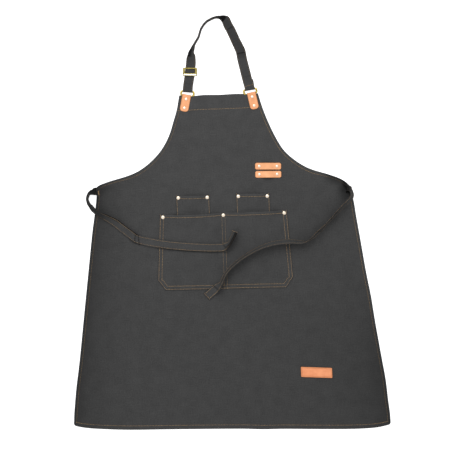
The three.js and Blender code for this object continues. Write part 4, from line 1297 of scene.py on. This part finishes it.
def strap_piece(name, node, stations, strap, creases, seed, crosses=()):
    """Folded canvas strap, sewn along each edge, across its ends and at the crosses, which are places."""
    points, sides, outs, length = strap_line(stations, STRAP_STEP)
    half = strap["width"] / 2
    shares = np.array([-1, -0.985, -0.94, -0.87, -0.80, -0.74, -0.62, -0.4, -0.2, 0])
    places = np.concatenate([shares, -shares[-2::-1]]) * half
    along = np.repeat(length[:, None], len(places), axis=1)
    across = np.repeat(places[None, :], len(length), axis=0)
    from_end = np.minimum(along, length[-1] - along)
    from_side = half - np.abs(across)
    edge = np.minimum(from_side, from_end)
    pull = np.maximum(dip(from_side, STRAP_STITCH, STRAP_VALLEY), dip(from_end, END_STITCH, STRAP_VALLEY))
    rim = STRAP_RIM["share"] * rim_drop(edge, STRAP_RIM["radius"])
    skin = strap["thick"] / 2 * (1 - rim) - STRAP_DIP * pull
    ripple = puckered(STRAP_PUCKER, across, along, from_side)
    # Painted shade darkens the strap where it stands on edge and at pressed creases; its tone darkens it
    # evenly, and bands darken it along an edge
    shade_and_tone = np.repeat(strap["shade"] * (1 - np.abs(outs[:, 2:])) ** 1.5, len(places), axis=1)
    shade_and_tone = np.maximum(shade_and_tone, strap["tone"])
    for crease in creases:
        rise, tone = pressed(along, across, points, length, crease)
        ripple = ripple + rise
        shade_and_tone = np.maximum(shade_and_tone, tone)
    for band in strap["bands"]:
        shade_and_tone = np.maximum(shade_and_tone, dark_band(along, across, points, length, band))
    middle = points[:, None, :] + across[:, :, None] * sides[:, None, :]
    face = middle + (skin + ripple)[:, :, None] * outs[:, None, :]
    under = middle + (-skin + ripple)[:, :, None] * outs[:, None, :]
    cut = grid_of(across, along, edge)
    piece = slab_piece(name, face, under, cut, shade_and_tone, charcoal_canvas)
    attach(piece, "root")
    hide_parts(node)
    lines = []
    sewn_rows = slice(3, -3)
    sewn_columns = slice(4, -4)
    for side, shade in zip((-1, 1), strap["thread_shade"]):
        column = int(np.argmin(np.abs(places - side * (half - STRAP_STITCH))))
        depth = np.interp(length[sewn_rows] / length[-1], *zip(*shade))
        depth = np.maximum(shade_and_tone[sewn_rows, column], depth)
        lines.append((face[sewn_rows, column], outs[sewn_rows], depth))
        lines.append((under[sewn_rows, column], -outs[sewn_rows], depth))
    rows = [int(np.searchsorted(length, at)) for at in (END_STITCH, length[-1] - END_STITCH)]
    rows += [row_near(points, x, y) for x, y in crosses]
    for row in rows:
        out = np.repeat(outs[row][None, :], len(places[sewn_columns]), axis=0)
        lines.append((face[row, sewn_columns], out, shade_and_tone[row, sewn_columns]))
        lines.append((under[row, sewn_columns], -out, shade_and_tone[row, sewn_columns]))
    stitching = sew(name + "_stitching", lines, seed)


# Pressed creases: where, how they slant, on which side and how far painted shade darkens them, the rise
# before them, and the edge that they favour
NECK_CREASES = table(
    CREASE_COLUMNS,
    (-106.6, 430.6, -0.3, -1, 1.0, 26, 0.0, 8, -1),
    (-20, 528.4, 0.32, 1, 1.0, 24, 0.0, 8),
    (-4.8, 505.7, -0.08, 1, 0.75, 2.2, 1.6, 12),
    (12, 465, 0.0, 1, 0.3, 2, 0.8, 12),
    (23, 440.2, 0.03, 1, 0.85, 2.5, 2.2, 14),
    (37.2, 380, 0.0, 1, 0.3, 2, 0.6, 10),
    (-113.6, 361, 0.0, 1, 0.3, 2, 0.3, 10),
)
strap_piece(
    "canvas_neck_strap", "neck_strap", neck_stations(), STRAP, NECK_CREASES, seed=13,
    crosses=[(42.6, 355.4)],
)


# Waist ties: folded canvas straps, each sewn under its waist corner, brought over the front
# and left loose. Both are partly turned up on edge.
TIE = dict(width=22.5, thick=1.6, rise=0.8, shade=0.45, tone=0.0)
ROOT_INSETS = (30, 16)
ROOT_SPOTS = (-1.6, 0, 1)

# Painted shade in dark bands beside an edge, side -1 being the left hand one: how far from it, and from where
# to where
LEFT_TIE_BANDS = table(
    BAND_COLUMNS,
    (-1, -1, 1.5, 0.85, (-346, 21), (-242, -45)),
    (-1, 3.6, 5, 0.6, (-340, 19), (-290, -9)),
    (1, -1, 1.5, 0.6, (-268, -28), (-225, -49)),
    (1, -1, 1.2, 0.7, (-200, -53), (-16, -60)),
)
RIGHT_TIE_BANDS = table(
    BAND_COLUMNS,
    (1, 4, 6, 0.85, (304, 58), (256, 9)),
    (1, 4, 6, 0.7, (236, -12), (207, -40)),
)

# How dark the thread is along a tie: share of its length, and depth
LEFT_THREAD = ((0, 0.95), (0.22, 0.9), (0.3, 0.3), (0.9, 0.15), (0.93, 0.5), (1, 0.5))
RIGHT_THREAD = ((0, 0.8), (0.3, 0.6), (0.7, 0.5), (0.9, 0.35), (0.95, 0.05), (1, 0.05))
RAISED_THREAD = ((0, 0.8), (0.09, 0.8), (0.13, 0.2), (0.38, 0.2), (0.44, 0.5), (0.9, 0.35), (1, 0.05))

# Rows from the waist corner to the loose end, as for the neck strap
LEFT_TIE_PATH = table(
    PATH_COLUMNS,
    (-352, 80, 12, 4.1),
    (-357.5, 79.2, 40, 9.1),
    (-363, 78.2, 51, 10.7),
    (-368, 76.9, 58, 11.4),
    (-372.6, 73.4, 68),
    (-376.3, 60.5, 72),
    (-372.9, 49.2, 68),
    (-366.4, 40, 62),
    (-360.6, 33.2, 59),
    (-346.3, 21.6, 54),
    (-327.3, 12.2, 44),
    (-303.2, -1.4, 26),
    (-288.9, -12.7, 22),
    (-268.3, -28.2, 18),
    (-255, -38.6, 12),
    (-248, -43, 4),
    (-240, -45.8, 0),
    (-221.5, -49.6, 0),
    (-187.7, -55.6, 0),
    (-160, -59.4, 0),
    (-135.7, -61.8, 0),
    (-109, -63.6, 0),
    (-83.7, -65, 0),
    (-60, -65.8, 0),
    (-44, -65.8, 0),
    (-27, -65.2, 0),
    (-20, -63.4, -22),
    (-12.4, -59.2, -54),
    (-6, -52.6, -63),
    (-1.6, -43.6, -60),
    (3.8, -32.8, -57),
    (7.8, -21.4, -50),
)
RIGHT_TIE_PATH = table(
    PATH_COLUMNS,
    (299, 85.5, -8, 3),
    (303.8, 85.2, -66, 11.2),
    (309, 82, -70, 13.6),
    (311.3, 74, -66, 14.9),
    (310, 65.4, -64, 15.8),
    (301.4, 55.6, -64),
    (289, 43.8, -66),
    (274.9, 29.6, -68),
    (256.5, 9.6, -74),
    (243.9, -4, -76),
    (232, -16.6, -68),
    (220, -28, -64),
    (205, -42, -74),
    (194, -49.6, -92),
    (178, -51, -114),
    (155, -49.6, -119),
    (130, -50.6, -122),
    (103.5, -55, -120),
    (74.9, -65, -114),
    (46.3, -79.5, -110),
    (20, -97, -108),
    (-2, -115.5, -108),
    (-14, -128.5, -108),
    (-20.5, -139.2, -108),
    (-25, -149.6, -108),
    (-30.6, -159.8, -116),
    (-37, -167, -142),
    (-44.5, -173.6, -170),
    (-55, -182.8, -180),
    (-66.6, -193.2, -180),
)
LEFT_TIE_CREASES = table(
    CREASE_COLUMNS,
    (-360, 78.6, 0.0, 1, 0.9, 60, 0, 8),
    (-360, 78.6, 0.0, -1, 0.97, 16, 0, 8),
    (-364, 77.8, 0.0, -1, 0.7, 100, 0, 8),
    (-253, -40.4, 0.55, 1, 0.75, 1.6, 0.8, 6),
    (-242, -45.2, 0.5, 1, 0.75, 1.6, 0.8, 6),
    (-18, -61, 0.5, 1, 0.5, 3, 0, 6),
    (5.8, -26.6, 0.0, 1, 0.9, 46, 0, 6, 1.3),
)
RIGHT_TIE_CREASES = table(
    CREASE_COLUMNS,
    (309, 82, 0.0, 1, 0.9, 60, 0, 6, 1),
    (270, 25, 0.4, 1, 0.6, 2.5, 0.6, 6),
    (257, 10.5, -0.3, 1, 0.6, 2.5, 0.8, 6),
    (224.6, -24, 0.5, 1, 0.7, 2, 0.8, 6),
    (-40, -170, -0.3, -1, 0.4, 4, 0, 6),
)


def tie_stations(side, rows):
    """Stations of a waist tie, from its sewn root under the hem to its loose end."""
    height = WAIST_HEIGHT - TIE["width"] / 2
    stations = []
    for inset in ROOT_INSETS:
        x = side * (float(half_width(np.array(height))) - inset)
        place_x, place_y, _ = lie(np.array(x), np.array(height))
        heights = [np.array(height + spot * TIE["width"] / 2) for spot in ROOT_SPOTS]
        lift = min(float(lie(np.array(x), y)[2]) for y in heights)
        z = max(lift - GAP - TIE["thick"] / 2, TIE["thick"] / 2 + GAP)
        stations.append((np.array([float(place_x), float(place_y), z]), np.array([0.0, -side, 0.0])))
    return stations + laid_stations(rows, TIE)


strap_piece(
    "canvas_tie_left", "waist_tie_left", tie_stations(-1, LEFT_TIE_PATH),
    dict(TIE, thread_shade=(LEFT_THREAD, LEFT_THREAD), bands=LEFT_TIE_BANDS),
    LEFT_TIE_CREASES, seed=17,
)
strap_piece(
    "canvas_tie_right", "waist_tie_right", tie_stations(1, RIGHT_TIE_PATH),
    dict(TIE, thread_shade=(RIGHT_THREAD, RAISED_THREAD), bands=RIGHT_TIE_BANDS),
    RIGHT_TIE_CREASES, seed=19,
)


# Rivets: pale polished caps with a domed head, a shank through the layers and a flat back cap.
# Seven hold the pocket mouths, four the tool loops and four the ring tabs.
POCKET_RIVET = dict(cap=4.6, dome=1.9, back=4.0, shank=1.5)
LEATHER_RIVET = dict(cap=3.7, dome=1.6, back=3.7, shank=1.3)
BACK_CAP = 0.7
CAP_RIM = 0.45
RIVET_SIDES = 28
CLOTH_GRIP = 3.1
MAIN_RIVETS = (-157, 0, 158.2)
MAIN_RIVET_DROP = 7
SMALL_RIVET = 37.5


def rivet_finish():
    """Pale polished metal with faint uneven wear."""
    material, tree, shader = new_finish("rivet_metal", roughness=0.3, metallic=0.7, specular=0.5)
    place = add_node(tree, "ShaderNodeTexCoord")["Object"]
    wear = noise_node(tree, place, 420, 3)
    colour = ramp_node(tree, wear, ((0.3, (0.65, 0.545, 0.425)), (0.7, (0.75, 0.66, 0.55))))
    tree.links.new(colour, shader.inputs["Base Color"])
    dull = math_node(tree, "ADD", math_node(tree, "MULTIPLY", wear, 0.25), 0.2)
    tree.links.new(dull, shader.inputs["Roughness"])
    return material


def rivet_tree():
    """Nodes that set one turned rivet at each point."""
    tree, names, given = new_group("Rivets", {"Places": "Geometry", "Rivet": "Object", "Finish": "Material"})
    form = add_node(tree, "GeometryNodeObjectInfo", {"Object": given["Rivet"]})["Geometry"]
    placed = {"Points": given["Places"], "Instance": form}
    close_group(tree, add_node(tree, "GeometryNodeInstanceOnPoints", placed)["Instances"], given["Finish"])
    return tree, names


def rivet_form(kind, grip):
    """Turned rivet whose cap seats at height zero and whose back cap lies the grip below it."""
    crown = kind["dome"] - CAP_RIM
    dome = [(kind["cap"] * math.cos(a), CAP_RIM + crown * math.sin(a)) for a in np.linspace(0, 1.45, 8)]
    low = -grip
    profile = [
        (kind["back"] - 0.3, low - BACK_CAP), (kind["back"], low - BACK_CAP + 0.3), (kind["back"], low),
        (kind["shank"], low), (kind["shank"], 0), (kind["cap"] - 0.15, 0), (kind["cap"], 0.2), *dome,
    ]
    angles = np.arange(RIVET_SIDES) * 2 * math.pi / RIVET_SIDES
    points = [(r * math.cos(a), r * math.sin(a), z) for r, z in profile for a in angles]
    points += [(0, 0, low - BACK_CAP), (0, 0, kind["dome"])]
    last = len(profile) - 1
    faces = ring_faces([(i, i + 1) for i in range(last)], RIVET_SIDES)
    for k in range(RIVET_SIDES):
        after = (k + 1) % RIVET_SIDES
        faces.append((after, k, len(points) - 2))
        faces.append((last * RIVET_SIDES + k, last * RIVET_SIDES + after, len(points) - 1))
    return mesh_piece("rivet_form", points, (), faces)


def set_rivets(name, kind, grip, places, nodes):
    """Rivets of one kind at their places, standing for their CAD nodes."""
    form = rivet_form(kind, grip)
    piece = grow(name, places, (), rivet_group, {"Rivet": form, "Finish": rivet_metal})
    bpy.data.objects.remove(form)
    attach(piece, "root")
    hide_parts(*nodes)


def pocket_rivet(pocket, across, drop):
    """Seat of a rivet on a pocket's mouth fold."""
    y = np.array(pocket["top"] - drop, float)
    return pocket_layers(pocket, np.array(across, float), y)[0]


rivet_metal = rivet_finish()
rivet_group = rivet_tree()
pocket_places = [pocket_rivet(MAIN_POCKET, across, MAIN_RIVET_DROP) for across in MAIN_RIVETS]
pocket_nodes = ["rivet_main_pocket_left", "rivet_main_pocket_middle", "rivet_main_pocket_right"]
for pocket in small_pockets:
    inner = SMALL_RIVET if pocket["centre"] < 0 else -SMALL_RIVET
    pocket_places += [pocket_rivet(pocket, across, pocket["rivet_drop"]) for across in (inner, -inner)]
    pocket_nodes += ["rivet_" + pocket["name"] + "_inner", "rivet_" + pocket["name"] + "_outer"]
set_rivets("pocket_rivets", POCKET_RIVET, CLOTH_GRIP, pocket_places, pocket_nodes)

loop_places = []
loop_nodes = []
for loop in LOOPS:
    along, _ = fitting_axes(loop["turn"])
    seat = seat_lift(loop["x"], loop["y"]) + GAP + LEATHER
    for end, side in (("left", -1), ("right", 1)):
        loop_places.append(np.array([loop["x"], loop["y"], seat]) + side * LOOP["rivet"] * along)
        loop_nodes.append("rivet_" + loop["name"] + "_" + end)
set_rivets("tool_loop_rivets", LEATHER_RIVET, CLOTH_GRIP, loop_places, loop_nodes)

tab_places = []
tab_nodes = []
for ring in RINGS:
    bar, _, up = tab_axes(ring)
    stand = PANEL_THICK / 2 + GAP + LEATHER
    for drop, end in zip(TAB["rivets"], ("upper", "lower")):
        tab_places.append(bar + UP * stand - up * drop)
        tab_nodes.append("rivet_strap_tab_" + ring["side"] + "_" + end)
set_rivets("ring_tab_rivets", LEATHER_RIVET, 2 * (PANEL_THICK / 2 + GAP + LEATHER), tab_places, tab_nodes)


# Studio: a plain white floor, an even white surround, a soft key light above the neck strap,
# a little to the left, and a camera straight above.
FLOOR_HALF = 6000.0
FLOOR_GREY = 0.5
FLOOR_GLOW = 0.85
SURROUND = 1.13
KEY = dict(place=(-0.22, 0.85, 1.1), size=0.9, power=11)
VIEW_CENTRE = (-0.0187, -0.0066)
VIEW_WIDTH = 1.17
CAMERA_HEIGHT = 10.0
SENSOR = 36

white_floor, _, floor_shader = new_finish("white_floor", roughness=0.8, metallic=0, specular=0.1)
floor_shader.inputs["Base Color"].default_value = (FLOOR_GREY, FLOOR_GREY, FLOOR_GREY, 1)
floor_shader.inputs["Emission Color"].default_value = (1, 1, 1, 1)
floor_shader.inputs["Emission Strength"].default_value = FLOOR_GLOW
floor_corners = FLOOR_HALF * np.array([(-1, -1, 0), (1, -1, 0), (1, 1, 0), (-1, 1, 0)])
floor = mesh_piece("floor", floor_corners, (), [(0, 1, 2, 3)], white_floor)

world = bpy.data.worlds.new("white_surround")
world.use_nodes = True
world.node_tree.nodes["Background"].inputs["Color"].default_value = (1, 1, 1, 1)
world.node_tree.nodes["Background"].inputs["Strength"].default_value = SURROUND
bpy.context.scene.world = world

key_light = bpy.data.lights.new("key", "AREA")
key_light.shape = "DISK"
key_light.size = KEY["size"]
key_light.energy = KEY["power"]
key = bpy.data.objects.new("key", key_light)
bpy.context.scene.collection.objects.link(key)
key.visible_camera = False
key.location = KEY["place"]
key.rotation_euler = (-Vector(KEY["place"])).to_track_quat("-Z", "Y").to_euler()

lens = bpy.data.cameras.new("camera")
lens.sensor_width = SENSOR
lens.lens = SENSOR * CAMERA_HEIGHT / VIEW_WIDTH
lens.clip_end = 50
camera = bpy.data.objects.new("camera", lens)
camera.location = (*VIEW_CENTRE, CAMERA_HEIGHT)
bpy.context.scene.collection.objects.link(camera)
bpy.context.scene.camera = camera
bpy.context.scene.view_settings.view_transform = "Standard"
